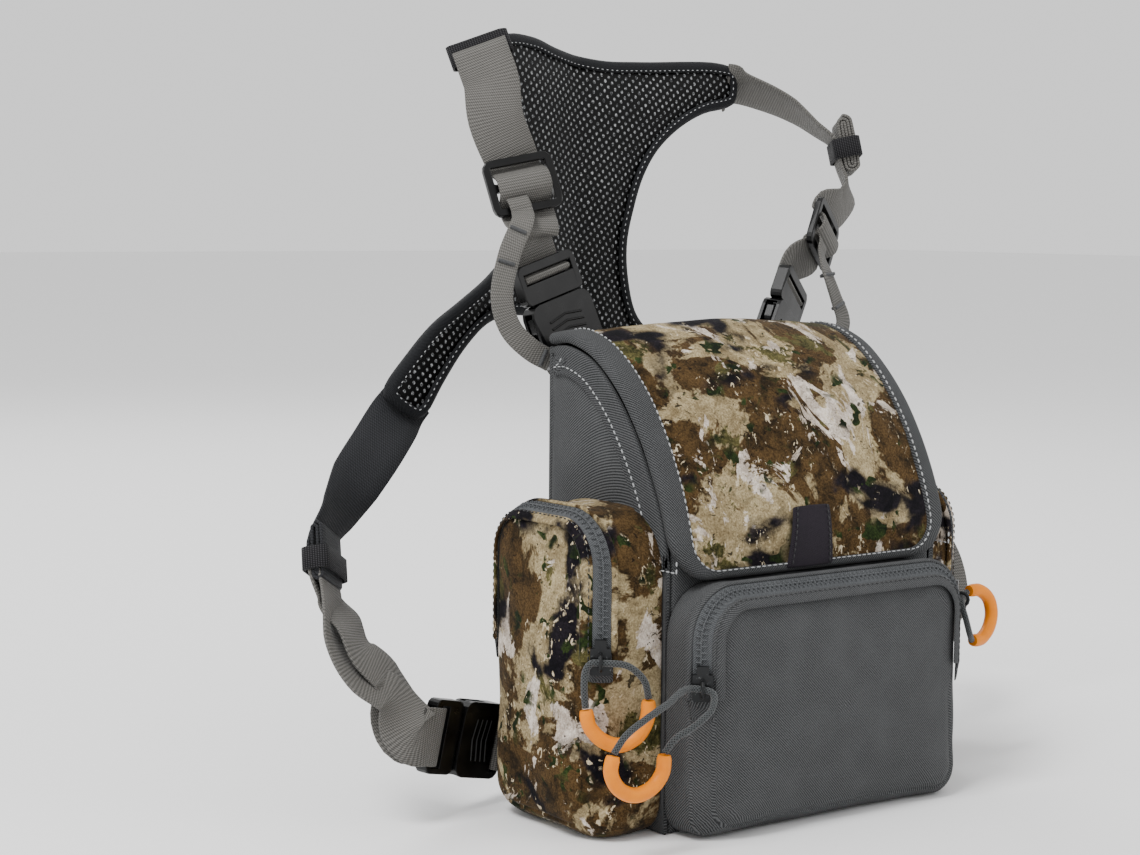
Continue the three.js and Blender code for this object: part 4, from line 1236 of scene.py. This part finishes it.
def add_pocket(name, ring_at, depth, chamfer_start, material, slot, node, bulge, zip_end):
    """A pocket's shell: its gusset, the chamfer that the zip lies on, and its face, closed in its middle."""
    steps = [(mixed(GAP, chamfer_start, share), 0.5 * share) for share in GUSSET_SHARES]
    steps += [(mixed(chamfer_start, depth - 1.5, share), mixed(0.5, 9, share)) for share in CHAMFER_SHARES]
    steps += [(depth - 0.4, 12), (depth, 16)]
    count = 120
    rings = [evenly(ring_at(out, inset), count) for out, inset in steps]
    border = rings[-1]
    outward = (ring_at(depth, 16)[0] - ring_at(0, 16)[0]).normalized()
    middle = sum(border, Vector()) / count
    for share in FACE_SHARES:
        swell = outward * (bulge * math.sin(math.pi / 2 * share))
        rings.append([point.lerp(middle, share) + swell for point in border])
    pocket = Shape()
    points = [point for ring in rings for point in ring]
    faces = []
    for row in range(len(rings) - 1):
        for column in range(count):
            beside = (column + 1) % count
            faces.append([row * count + column, row * count + beside,
                          (row + 1) * count + beside, (row + 1) * count + column])
    last = (len(rings) - 1) * count
    points.append(middle + outward * bulge)
    faces += [[last + column, last + (column + 1) % count, len(points) - 1] for column in range(count)]
    pocket.add(points, faces)
    made = pocket.build(name, material, "pack", slot, [node])
    mesh = made.data
    middle = sum((vertex.co for vertex in mesh.vertices), Vector()) / len(mesh.vertices)
    facing = sum((face.center - middle).dot(face.normal) * face.area for face in mesh.polygons)
    if facing < 0:
        mesh.flip_normals()
    seams = [row * count + column for row in (JOIN_ROW, GUSSET_ROW, FACE_ROW) for column in range(count)]
    puff(made, seams, cap=4.5, pressure=7.0)
    for index, vertex in enumerate(mesh.vertices):
        row = min(index // count, len(rings) - 1)
        share = smooth_step(row / 3)
        place = from_frame(vertex.co)
        low = smooth_step((zip_end - 10 - place.z) / 30)
        lump = noise.noise(place / 27) * (1.5 + 1.3 * low)
        lump += noise.noise(place / 10 + Vector((5, 0, 0))) * 0.35
        if row in (GUSSET_ROW, FACE_ROW):
            below = smooth_step((zip_end - 4 - place.z) / 10)
            lump = lump * 0.3 - 0.3 - (2.2 if row == FACE_ROW else 0.3) * below
        vertex.co += vertex.normal * lump * share * MM
        vertex.co.z = max(vertex.co.z, cad_low[2])
    refine(made, POCKET_THICKNESS)


def arch(ring_at, step, zip_end):
    """The part of a pocket's ring above the zip's ends: up one side, over the top and down the other."""
    ring = ring_at(*step)
    top = ring[9:27]
    first, last = top[0].copy(), top[-1].copy()
    first.z = last.z = zip_end
    return [first, *top, last]


def zip_rails(ring_at, outer_step, inner_step, zip_end, spacing=1.3):
    """Matching places along the zip's outer and inner edges, with the way across and out at each."""
    outer = arch(ring_at, outer_step, zip_end)
    inner = arch(ring_at, inner_step, zip_end)
    rails = []
    for index in range(len(outer) - 1):
        span = (outer[index + 1] - outer[index]).length
        count = max(int(span / spacing), 1)
        for step in range(count):
            share = step / count
            rails.append(tuple(rail[index].lerp(rail[index + 1], share) for rail in (outer, inner)))
    rails.append((outer[-1], inner[-1]))
    middle = sum((edge for edge, _ in rails), Vector()) / len(rails)
    stations = []
    for index, (edge, within) in enumerate(rails):
        before = rails[max(index - 1, 0)][0]
        after = rails[min(index + 1, len(rails) - 1)][0]
        across = within - edge
        out = (after - before).cross(across).normalized()
        if out.dot(edge - middle) < 0:
            out = -out
        stations.append((edge, across, out))
    return stations


def band(shape, stations, section):
    """A strip along a zip. Each corner of its section is a share of the way across and a height."""
    shape.loft([[edge + across * u + out * v for u, v in section] for edge, across, out in stations])


TAPE_SECTION = [(0.0, 0.1), (0.0, 1.1), (0.2, 1.5), (0.6, 1.6), (0.9, 1.4), (0.98, 1.0), (0.98, 0.1)]
WELT_SECTIONS = [
    [(-0.14, -0.5), (-0.16, 0.9), (-0.08, 1.9), (0.02, 2.2), (0.1, 1.9), (0.12, 1.2), (0.06, 0.2)],
    [(0.83, 0.6), (0.81, 1.5), (0.85, 2.1), (0.95, 2.3), (1.1, 1.9), (1.3, 0.9), (1.36, -0.4)],
]
COIL_SECTION = [(-1, -0.6), (1, -0.6), (0.8, 0.35), (0, 0.7), (-0.8, 0.35)]
END_SECTION = [(-0.02, 0.2), (0.0, 1.0), (0.5, 1.15), (0.98, 1.0), (1.0, 0.2)]
# The rings of the patch over a zip's end: how high each is over the end, and how far out.
END_RINGS = [(5.0, 1.7), (4.2, 2.3), (-1.0, 2.3), (-2.6, 1.7), (-7.5, 1.35), (-8.5, 0.8)]
COIL_SHARE = 0.42
COIL_HEIGHT = 1.9


def add_zip(name, stations, welt_material, welt_slot):
    tape = Shape()
    band(tape, stations, TAPE_SECTION)
    tape.build(f"{name}_tape", TAPE, "pack", "zip_tape", [f"{name}_zip"], sharp=60)

    coil = Shape()
    for index, (edge, across, out) in enumerate(stations[1:], start=1):
        before = stations[index - 1][0]
        way = (edge - before).normalized()
        sideways = across.normalized()
        side = -1 if index % 2 else 1
        centre = edge + across * COIL_SHARE + sideways * (side * 1.15) + out * COIL_HEIGHT
        rings = []
        for along, size in ((-1.25, 0.5), (-0.8, 1.0), (0.8, 1.0), (1.25, 0.5)):
            middle = centre + sideways * along
            rings.append([middle + way * u * 0.48 * size + out * v * 0.8 * size for u, v in COIL_SECTION])
        coil.loft(rings)
    ridge = [edge + across * COIL_SHARE + out * COIL_HEIGHT for edge, across, out in stations]
    coil.tube(ridge, 0.5, 6)
    coil.build(f"{name}_coil", TAPE, "pack", "zip_tape", sharp=60)

    welts = Shape()
    for section in WELT_SECTIONS:
        band(welts, stations, section)
    refine(welts.build(f"{name}_welts", welt_material, "pack", welt_slot))

    sewing = Shape()
    places = [edge + across * 0.965 + out * 2.3 for edge, across, out in stations]
    stitches(sewing, places, [out for _, _, out in stations], pitch=2.8, length=1.8, width=0.45)
    sewing.build(f"{name}_zip_stitching", DARK_THREAD, "pack", "zip_tape")

    ends = Shape()
    for edge, across, out in (stations[0], stations[-1]):
        rings = []
        for rise, lift in END_RINGS:
            rings.append([
                edge + across * u + out * (lift * v) + Vector((0, 0, rise)) for u, v in END_SECTION
            ])
        ends.loft(rings)
    refine(ends.build(f"{name}_zip_ends", DARK_GREY, "pack", "zip_tape", sharp=70))


def add_pockets():
    chamfer = FRONT_POCKET_DEPTH - 9
    add_pocket(
        "front_pouch", front_ring, FRONT_POCKET_DEPTH, chamfer, GREY, "grey_cloth", "front_pocket",
        bulge=3.2, zip_end=FRONT_ZIP_END,
    )
    steps = ((chamfer, 0.5), (FRONT_POCKET_DEPTH - 1.5, 9))
    add_zip("front", zip_rails(front_ring, *steps, FRONT_ZIP_END), GREY, "grey_cloth")
    for name, (side, depth, front) in SIDE_POCKETS.items():
        chamfer = depth - 10

        def ring_at(out, inset, side=side, front=front):
            return side_ring(side, front, out, inset)

        add_pocket(
            f"{name}_pouch", ring_at, depth, chamfer, CAMO, "camo_cloth", f"{name}_pocket",
            bulge=3.4, zip_end=SIDE_ZIP_END,
        )
        steps = ((chamfer, 0.5), (depth - 1.5, 9))
        add_zip(name, zip_rails(ring_at, *steps, SIDE_ZIP_END), CAMO, "camo_cloth")


add_pockets()


# ---- buckles and triglides ----
BUCKLES = {
    "upper_left": ((-66, 14, 221), (1, 0, 0.3), (-0.3, 0.16, 0.94)),
    "upper_right": ((78, 19.5, 212), (0.75, 0.4, -0.54), (0.52, 0.16, 0.84)),
    "lower_left": ((-131, -3, 34), (0.22, 0, 0.97), (-0.94, -0.27, 0.22)),
    "lower_right": ((131, -3, 34), (0.22, 0, -0.97), (0.94, -0.27, 0.22)),
}
TRIGLIDES = {
    "upper_left": ((-74, 27, 271), (0.95, -0.3, 0.1), (-0.1, 0.33, 0.94)),
    "upper_right": ((109, 25.5, 249), (0.75, 0.4, -0.54), (0.5, 0.2, 0.84)),
}
KEEPERS = {
    "upper_left": ((-78, 50, 324), (0.8, -0.6, 0.15), (-0.2, 0.3, 0.93)),
    "upper_right": ((137, 40, 291), (0.6, 0.8, 0), (-0.1, 0.2, 0.97)),
    "lower_left": ((-178, 30, 108), (0.75, 0.66, -0.1), (0.18, 0.38, 0.9)),
    "lower_right": ((178, 30, 108), (0.75, -0.66, 0.1), (-0.18, 0.38, 0.9)),
}


class Fitting:
    """A buckle's, triglide's or keeper's own axes: X across, Y through, Z along the strap."""

    def __init__(self, place, across, up):
        self.place = Vector(place)
        self.along = Vector(up).normalized()
        across = Vector(across)
        self.across = (across - self.along * across.dot(self.along)).normalized()
        self.through = self.along.cross(self.across)

    def at(self, x, y, z):
        return self.place + self.across * x + self.through * y + self.along * z

    def stop(self, y, z):
        return self.at(0, y, z), self.across


def add_hardware():
    for name in BUCKLES:
        finish_node(f"{name}_socket", BLACK_PLASTIC, bevel=0.9)
        finish_node(f"{name}_plug", BLACK_PLASTIC, bevel=0.7)
        for letter in "ab":
            finish_node(f"{name}_prong_{letter}", BLACK_PLASTIC, bevel=0.5)
        fitting = Fitting(*BUCKLES[name])
        ribs = Shape()
        for index in range(4):
            z = -8.0 - index * 3.2
            for face in (-1, 1):
                line = [fitting.at(x, face * 4.45, z - abs(x) * 0.18) for x in range(-9, 10, 3)]
                ribs.tube(line, 0.55, 8)
        ribs.build(f"{name}_socket_ribs", BLACK_PLASTIC, "pack", "black_plastic", sharp=60)
    for name in TRIGLIDES:
        finish_node(f"{name}_triglide", BLACK_PLASTIC, bevel=0.7)


add_hardware()


# ---- straps ----
def strip(shape, points, acrosses, width, thickness, twist=0.0):
    """A flat strip with soft edges, along points, with its width along the given directions."""
    half, thin = width / 2, thickness / 2
    section = [
        (-half, -0.5 * thin), (-half + 0.4, -thin), (-half * 0.5, -thin), (0, -thin * 0.95),
        (half * 0.5, -thin), (half - 0.4, -thin), (half, -0.5 * thin), (half, 0.5 * thin),
        (half - 0.4, thin), (half * 0.5, thin), (0, thin * 0.95), (-half * 0.5, thin),
        (-half + 0.4, thin), (-half, 0.5 * thin),
    ]
    rings = []
    for index, point in enumerate(points):
        way = (points[min(index + 1, len(points) - 1)] - points[max(index - 1, 0)]).normalized()
        across = acrosses[index]
        across = (across - way * across.dot(way)).normalized()
        normal = way.cross(across)
        wave = noise.noise(point / 17) * twist
        rings.append([point + across * u + normal * (v + wave * u / half) for u, v in section])
    shape.loft(rings)


def ribbon(shape, stops, width, thickness, steps=8, twist=0.2):
    route = Route([place for place, _ in stops], steps=steps, power=0.5)
    acrosses = []
    for index in range(len(route.points)):
        stop = min(index // steps, len(stops) - 2)
        share = (index - stop * steps) / steps
        acrosses.append(Vector(stops[stop][1]).lerp(Vector(stops[stop + 1][1]), share))
    strip(shape, route.points, acrosses, width, thickness, twist)
    return route, acrosses


# Places through and along a fitting. Over and under the triglide's three bars.
WEAVE = [
    (3.9, 12), (3.8, 8.9), (0, 5.75), (-3.3, 3.2), (-4, 0), (-3.3, -3.2), (0, -5.75), (3.8, -8.9), (3.9, -12),
]
# Behind the plug's end bar, forward through its slot, and back behind its base.
PLUG_LOOP = [
    (3.0, 27), (4.1, 20), (4.1, 16), (2.4, 13.2), (-0.8, 12.6),
    (-2.4, 11.4), (-0.8, 10.2), (2.6, 9.3), (4.1, 7),
]
# Round a lower plug's bar: down behind it, through, and back up in front.
LOWER_PLUG_LOOP = [
    (2.5, 29), (4.0, 20), (4.1, 15), (2.6, 12), (0, 11.3), (-2.6, 12), (-4.1, 15), (-4.0, 20), (-2.5, 29),
]
# Round the socket's end bar and back down beside itself.
SOCKET_LOOP = [
    (0.8, -36), (4.6, -31), (5.4, -28), (3.4, -25.6), (0, -25.2),
    (-3.4, -25.6), (-5.4, -28), (-4.6, -31), (-0.8, -36),
]

UPPER_STRAPS = {
    "upper_left": {
        "start": [((-60, 61, 312.5), (0.8, -0.55, 0.1)), ((-66, 60, 311), (0.75, -0.65, 0.1))],
        "held": [(8, -10), (6, -3), (6, 3), (4.2, 7.6), (-2, 9.6), (-7, 7.4), (-8, 2), (-8.4, -8)],
        "middle": [((-81.5, 37, 300), (0.85, -0.5, 0.1))],
        "end": [((-74.2, 18.5, 250), (1, -0.1, 0.1))],
        "roll": ((-4.2, 5.6), (-11, 7)),
    },
    "upper_right": {
        "start": [
            ((92, 80, 322), (0.35, 0.3, -0.88)),
            ((98, 80, 322.5), (0.5, 0.6, -0.6)),
            ((110, 72, 318), (0.52, 0.65, -0.5)),
            ((121, 62, 311), (0.55, 0.7, -0.4)),
            ((128, 52, 302), (0.6, 0.8, -0.2)),
        ],
        "held": [(4.5, 4), (4.5, -6), (3, -15)],
        "middle": [((137, 36, 270), (0.8, 0.55, -0.3)), ((128, 34, 262), (0.78, 0.45, -0.45))],
        "end": [],
        "roll": ((-5.5, 4.5), (-13, 17)),
    },
}
LOWER_STRAP = {
    "down": [
        ((-176, 24, 94), (0.7, 0.7, 0.1)),
        ((-173, 15, 85), (0.6, 0.75, 0.3)),
        ((-170.6, 8, 74), (0.5, 0.75, 0.45)),
        ((-161, 2, 62), (0.46, 0.7, 0.6)),
    ],
    "back": [
        ((-163, -5, 56), (0.45, 0.65, 0.6)),
        ((-176, 2, 66), (0.5, 0.75, 0.45)),
        ((-181, 11, 80), (0.6, 0.75, 0.3)),
    ],
    "lower_left": [
        ((-116, 53, 177), (0.93, 0.1, 0.35)),
        ((-124.5, 51, 168.5), (0.93, 0.1, 0.35)),
        ((-139, 45, 155), (0.9, 0.05, 0.35)),
        ((-153, 40, 142), (0.85, 0.1, 0.3)),
        ((-165, 36, 129), (0.85, 0.3, 0.1)),
    ],
    "lower_right": [
        ((-104, 80, 152), (0.7, 0.3, 0.65)),
        ((-113, 78, 147.5), (0.7, 0.3, 0.65)),
        ((-128, 68, 141), (0.75, 0.2, 0.6)),
        ((-147, 54, 130), (0.8, 0.2, 0.4)),
        ((-160, 43, 125), (0.88, 0.33, -0.1)),
    ],
}
TETHERS = {
    "upper_left": [
        ((-82, 15.5, 255), (0.9, -0.4, 0.1)),
        ((-91, 13, 240), (0.9, -0.4, 0.1)),
        ((-97, 10, 221), (0.9, -0.4, 0.1)),
        ((-94, 7.5, 208), (0.8, -0.4, 0.5)),
        ((-86, 3.6, 199), (0.6, -0.2, 0.7)),
        ((-77, 1.5, 194), (0.6, 0, 0.8)),
    ],
    "upper_right": [
        ((99, 10.5, 229), (0.9, 0.4, 0.2)),
        ((103, 9, 218), (0.9, 0.3, 0.3)),
        ((106, 7, 207), (0.8, 0.2, 0.5)),
        ((98, 4.5, 196), (0.5, 0, -0.8)),
        ((86, 2.6, 191), (0.3, 0, -0.9)),
        ((76, 1.4, 189), (0.2, 0, -0.95)),
    ],
}
TABS = {
    "upper_left": [
        ((-56.5, 4, 181), (1, 0, 0.2)),
        ((-56, 1.2, 172), (1, 0, 0.1)),
        ((-56, 1.1, 156), (1, 0, 0)),
    ],
    "upper_right": [
        ((56.5, 3.2, 177), (0.95, 0.1, -0.3)),
        ((55, 1.2, 166), (1, 0, -0.1)),
        ((55, 1.1, 150), (1, 0, 0)),
    ],
    "lower_left": [
        ((-96, 3.4, 26.6), (0.1, 0, 1)),
        ((-82, 1.2, 26), (0, 0, 1)),
        ((-64, 1.1, 26), (0, 0, 1)),
    ],
    "lower_right": [
        ((96, 3.4, 26.6), (0.1, 0, -1)),
        ((82, 1.2, 26), (0, 0, -1)),
        ((64, 1.1, 26), (0, 0, -1)),
    ],
}
# How far each elastic band reaches to the front and back of its place, and how high it has been pushed up.
SLEEVES = {
    "upper_left": (-4.8, 8, 8),
    "upper_right": (-6, 6.4, 0),
    "lower_left": (-8, 2.4, 0),
    "lower_right": (-8, 2.4, 0),
}


def add_roll(shape, fitting, depth, height):
    """The strap's tail, rolled up flat: a spiral of webbing seen from its edge."""
    front, back = depth
    low, high = height
    middle = (front + back) / 2
    layer = WEBBING_THICKNESS + 0.35
    turns = (back - front) / 2 / layer - 0.35
    points = []
    count = int(turns * 48)
    for step in range(count + 1):
        turn = step / 48
        inset = layer * turn + WEBBING_THICKNESS / 2
        radius = max((back - front) / 2 - inset, 0.5)
        reach = max((high - low) / 2 - inset - radius, 0.0)
        angle = 2 * math.pi * turn
        y = middle - radius * math.sin(angle)
        z = (low + high) / 2 + radius * math.cos(angle)
        z += reach * min(max(math.cos(angle) * 3.0, -1.0), 1.0)
        points.append(fitting.at(0, y, z))
    strip(shape, points, [fitting.across] * len(points), WEBBING_WIDTH, WEBBING_THICKNESS)


# The rings of a keeper: the height of each along the strap, and how far out its wall is.
KEEPER_RINGS = [
    (-4.9, 0.15), (-5.0, 0.7), (-4.7, 1.25), (0, 1.25), (4.7, 1.25), (5.0, 0.7), (4.9, 0.15), (0, 0.15),
]


def add_keeper(name):
    """The elastic band round a strap and its rolled tail."""
    fitting = Fitting(*KEEPERS[name])
    front, back, pushed = SLEEVES[name]
    band_shape = Shape()
    half = WEBBING_WIDTH / 2 + 1
    rings = []
    for z, wall in KEEPER_RINGS:
        grow = wall - 0.3
        outline = rounded_outline(-half - grow, half + grow, front - grow, back + grow, 3.2, 3.2, 5)
        rings.append([fitting.at(x, y, z + pushed + 0.35 * math.sin(x * 0.3)) for x, y in outline])
    rings.append(rings[0])
    band_shape.loft(rings, caps=False)
    made = band_shape.build(f"{name}_band", ELASTIC, "pack", "elastic", [f"{name}_keeper"])
    weld(made, 0.02)


def add_upper_strap(name):
    plan = UPPER_STRAPS[name]
    held = Fitting(*KEEPERS[name])
    glide = Fitting(*TRIGLIDES[name])
    buckle = Fitting(*BUCKLES[name])
    stops = plan["start"] + [held.stop(y, z) for y, z in plan["held"]] + plan["middle"]
    stops += [glide.stop(y, z) for y, z in WEAVE] + plan["end"]
    stops += [buckle.stop(y, z) for y, z in PLUG_LOOP]
    strap = Shape()
    ribbon(strap, stops, WEBBING_WIDTH, WEBBING_THICKNESS, steps=6)
    add_roll(strap, held, *plan["roll"])
    strap.build(f"{name}_webbing", GREY_WEBBING, "pack", "webbing", [f"{name}_strap"], sharp=60)
    add_keeper(name)


def add_lower_strap(name, side):
    held = Fitting(*KEEPERS[name])
    buckle = Fitting(*BUCKLES[name])

    def placed(stop):
        (x, y, z), (across_x, across_y, across_z) = stop
        if side < 0:
            return stop
        return (-x, y, z), (across_x, -across_y, -across_z)

    black = Shape()
    stops = [placed(stop) for stop in LOWER_STRAP[name]] + [held.stop(0, 8), held.stop(0, 1)]
    ribbon(black, stops, WEBBING_WIDTH, WEBBING_THICKNESS, steps=8)
    add_roll(black, held, (-7, 0.4), (-10, 17))
    black.build(f"{name}_upper_webbing", BLACK_WEBBING, "pack", "webbing", [f"{name}_strap"], sharp=60)
    grey = Shape()
    stops = [held.stop(0, 1), held.stop(0, -5)] + [placed(stop) for stop in LOWER_STRAP["down"]]
    stops += [buckle.stop(y, z) for y, z in LOWER_PLUG_LOOP]
    stops += [placed(stop) for stop in LOWER_STRAP["back"]]
    stops += [held.stop(-5, -12), held.stop(-4, -4)]
    ribbon(grey, stops, WEBBING_WIDTH, WEBBING_THICKNESS, steps=8)
    grey.build(f"{name}_webbing", GREY_WEBBING, "pack", "webbing", sharp=60)
    add_keeper(name)


def add_tab(name):
    """The short webbing loop that holds a socket, both its ends sewn under each other on the back panel."""
    buckle = Fitting(*BUCKLES[name])
    away = [(Vector(place), across) for place, across in reversed(TABS[name])]
    stops = away + [buckle.stop(y, z) for y, z in SOCKET_LOOP]
    outer = [(Vector(place) + Vector((0, 1.5, 0)), across) for place, across in TABS[name][:2]]
    tab = Shape()
    ribbon(tab, stops + outer, WEBBING_WIDTH, WEBBING_THICKNESS, steps=7)
    tab.build(f"{name}_loop", GREY_WEBBING, "pack", "webbing", [f"{name}_tab"], sharp=60)


# Through and along the triglide, where a tether comes off its lowest bar.
TETHER_THREADING = [(1.5, -5.2), (-1.6, -5.8), (-3.6, -9), (-4.0, -13)]


def add_tether(name):
    tether = Shape()
    glide = Fitting(*TRIGLIDES[name])
    threaded = [(glide.at(-5, y, z), glide.across) for y, z in TETHER_THREADING]
    route, acrosses = ribbon(tether, threaded + TETHERS[name], TETHER_WIDTH, 1.2, steps=10)
    tether.build(f"{name}_cord_strap", GREY_WEBBING, "pack", "webbing", [f"{name}_tether"], sharp=60)
    bars = Shape()
    for distance in (24, 40, route.length - 4):
        point, way = route.at(distance)
        across = acrosses[-1 if distance > 50 else 60]
        across = (across - way * across.dot(way)).normalized()
        normal = way.cross(across)
        for face in (-1, 1):
            places = [point + across * x + normal * (0.62 * face) for x in (-4.2, 0, 4.2)]
            stitches(bars, places, [normal * face] * 3, pitch=0.62, length=0.9, width=1.9)
    bars.build(f"{name}_bartacks", BAR_THREAD, "pack", "webbing")


for strap_name in UPPER_STRAPS:
    add_upper_strap(strap_name)
    add_tether(strap_name)
add_lower_strap("lower_left", -1)
add_lower_strap("lower_right", 1)
for tab_name in TABS:
    add_tab(tab_name)


# ---- yoke ----
YOKE_OUTLINE = [
    (-62, 338), (-40, 339), (-23, 335.5), (-7, 333), (13, 331), (36, 331.5), (88, 333), (96, 330),
    (96, 315), (89, 312), (77, 309.5), (61, 302), (46, 290), (37, 277), (31, 261), (27, 244),
    (28, 226), (34, 208), (52, 194), (84, 178), (117, 161), (118, 158), (106, 144), (98, 145),
    (58, 160), (26, 176), (0, 190), (-22, 202), (-38, 210), (-56, 211.5), (-72, 208.5), (-88, 197),
    (-101, 182), (-111, 168.5), (-116, 167), (-130, 176), (-131, 180), (-118, 196), (-105, 208),
    (-90, 217), (-70, 229), (-56, 241), (-47, 258), (-44, 278), (-50, 298), (-60, 318), (-64, 330),
]
YOKE_THICKNESS = 6
YOKE_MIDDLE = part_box("yoke_pad")[1].y / MM - YOKE_THICKNESS / 2
YOKE_BEND_DEPTH = 30
YOKE_BEND_WIDTH = 120


def yoke_bend(x):
    share = min(max((-5 - x) / YOKE_BEND_WIDTH, 0), 1)
    return -YOKE_BEND_DEPTH * math.sin(share * math.pi / 2)


def smooth_outline(corners, spacing):
    """A closed outline through the corners, evenly spaced, with the corners slightly rounded."""
    count = len(corners)
    knots = [Vector((x, 0, z)) for x, z in corners]
    points = []
    for index in range(count):
        section = [knots[(index + shift) % count] for shift in (-1, 0, 1, 2)]
        points += [Route.between(section, step / 6, 0.5) for step in range(6)]
    line = points + [points[0]]
    return spread_evenly(line, int(lengths_along(line)[-1] / spacing))


def apply_modifiers(made):
    evaluated = made.evaluated_get(bpy.context.evaluated_depsgraph_get())
    mesh = bpy.data.meshes.new_from_object(evaluated)
    made.modifiers.clear()
    old = made.data
    made.data = mesh
    bpy.data.meshes.remove(old)


YOKE_VOXEL = 4.5
# The edge binding's section: how far in from the yoke's edge, and how far through it.
YOKE_BINDING_SECTION = [
    (4.6, -2.0), (4.4, -3.0), (3.2, -3.5), (1.4, -3.3), (0.0, -2.5), (-0.8, -1.0), (-0.8, 1.0), (0.0, 2.5),
    (1.4, 3.3), (3.2, 3.5), (4.4, 3.0), (4.6, 2.0), (2.6, 1.3), (1.2, 0.0), (2.6, -1.3),
]


def add_yoke():
    outline = smooth_outline(YOKE_OUTLINE, 4.0)
    inset = []
    for index, point in enumerate(outline):
        way = (outline[(index + 1) % len(outline)] - outline[index - 1]).normalized()
        inset.append(point + Vector((-way.z, 0, way.x)) * -1.2)
    count = len(inset)
    pad = Shape()
    half = YOKE_THICKNESS / 2 - 1.0
    points = [point + Vector((0, depth, 0)) for depth in (-half, half) for point in inset]
    faces = [list(range(count)), [count + column for column in reversed(range(count))]]
    for column in range(count):
        beside = (column + 1) % count
        faces.append([beside, column, count + column, count + beside])
    if volume(points, faces) < 0:
        faces = [list(reversed(face)) for face in faces]
    pad.add(points, faces)
    made = pad.build("yoke_cushion", AIR_MESH, "pack", "air_mesh", ["yoke_pad"])
    remesh = made.modifiers.new("Remesh", "REMESH")
    remesh.mode = "VOXEL"
    remesh.voxel_size = YOKE_VOXEL * MM
    remesh.use_smooth_shade = True
    apply_modifiers(made)
    pinned = []
    for vertex in made.data.vertices:
        place = from_frame(vertex.co)
        near = min((Vector((place.x, 0, place.z)) - point).length for point in inset)
        if near < 7:
            pinned.append(vertex.index)
        else:
            side = 1 if place.y > 0 else -1
            vertex.co.y += side * 1.6 * smooth_step((near - 5) / 16) * MM
    puff(made, pinned, cap=5, pressure=5.0)
    for vertex in made.data.vertices:
        place = from_frame(vertex.co)
        lump = noise.noise(place / 30) * 1.1 + noise.noise(place / 13) * 0.3
        vertex.co.y += (YOKE_MIDDLE + yoke_bend(place.x) + lump) * MM
    refine(made)

    binding, sewing = Shape(), Shape()
    rings = []
    seam_front, seam_back = [], []
    for index, point in enumerate(outline + outline[:1]):
        index = index % count
        before, after = outline[index - 2], outline[(index + 2) % len(outline)]
        way = (after - before).normalized()
        inward = Vector((-way.z, 0, way.x)) * -1
        ring = []
        for depth, through in YOKE_BINDING_SECTION:
            place = point + inward * depth
            ring.append(Vector((place.x, YOKE_MIDDLE + yoke_bend(place.x) + through, place.z)))
        rings.append(ring)
        place = point + inward * 3.6
        lift = YOKE_MIDDLE + yoke_bend(place.x)
        seam_front.append(Vector((place.x, lift - 3.45, place.z)))
        seam_back.append(Vector((place.x, lift + 3.45, place.z)))
    binding.loft(rings, caps=False)
    made = binding.build("yoke_binding", DARK_EDGE, "pack", "air_mesh")
    if volume(binding.points, binding.faces) < 0:
        made.data.flip_normals()
    for seam, outward in ((seam_front, Vector((0, -1, 0))), (seam_back, Vector((0, 1, 0)))):
        stitches(sewing, seam, [outward] * len(seam), pitch=3.0, length=1.2, width=0.4)
    sewing.build("yoke_stitching", GREY_THREAD, "pack", "air_mesh")


add_yoke()

# ---- stage ----
FLOOR_REACH = 12.0


def add_stage():
    data = bpy.data.meshes.new("floor")
    corners = [(x * FLOOR_REACH, y * FLOOR_REACH, UNDERSIDE) for x, y in ((-1, -1), (1, -1), (1, 1), (-1, 1))]
    data.from_pydata(corners, [], [(0, 1, 2, 3)])
    floor = bpy.data.objects.new("floor", data)
    bpy.context.scene.collection.objects.link(floor)
    surface = Surface("floor", roughness=0.9, specular=0.1)
    surface.paint(colour("f2f2f2"))
    data.materials.append(surface.material)
    world = bpy.data.worlds.new("studio")
    world.use_nodes = True
    world.node_tree.nodes["Background"].inputs["Color"].default_value = (1, 1, 1, 1)
    world.node_tree.nodes["Background"].inputs["Strength"].default_value = 1.1
    bpy.context.scene.world = world
    lamps = [
        ("key", (-1.3, -0.3, 1.9), 0.7, 46),
        ("fill", (0.9, -1.5, 0.9), 1.0, 5),
        ("rim", (0.4, 1.4, 1.3), 0.8, 12),
    ]
    for name, place, width, power in lamps:
        lamp = bpy.data.lights.new(name, "AREA")
        lamp.size = width
        lamp.energy = power
        made = bpy.data.objects.new(name, lamp)
        made.location = place
        made.rotation_mode = "QUATERNION"
        made.rotation_quaternion = (Vector((0, 0, 0.05)) - made.location).to_track_quat("-Z", "Y")
        bpy.context.scene.collection.objects.link(made)


add_stage()
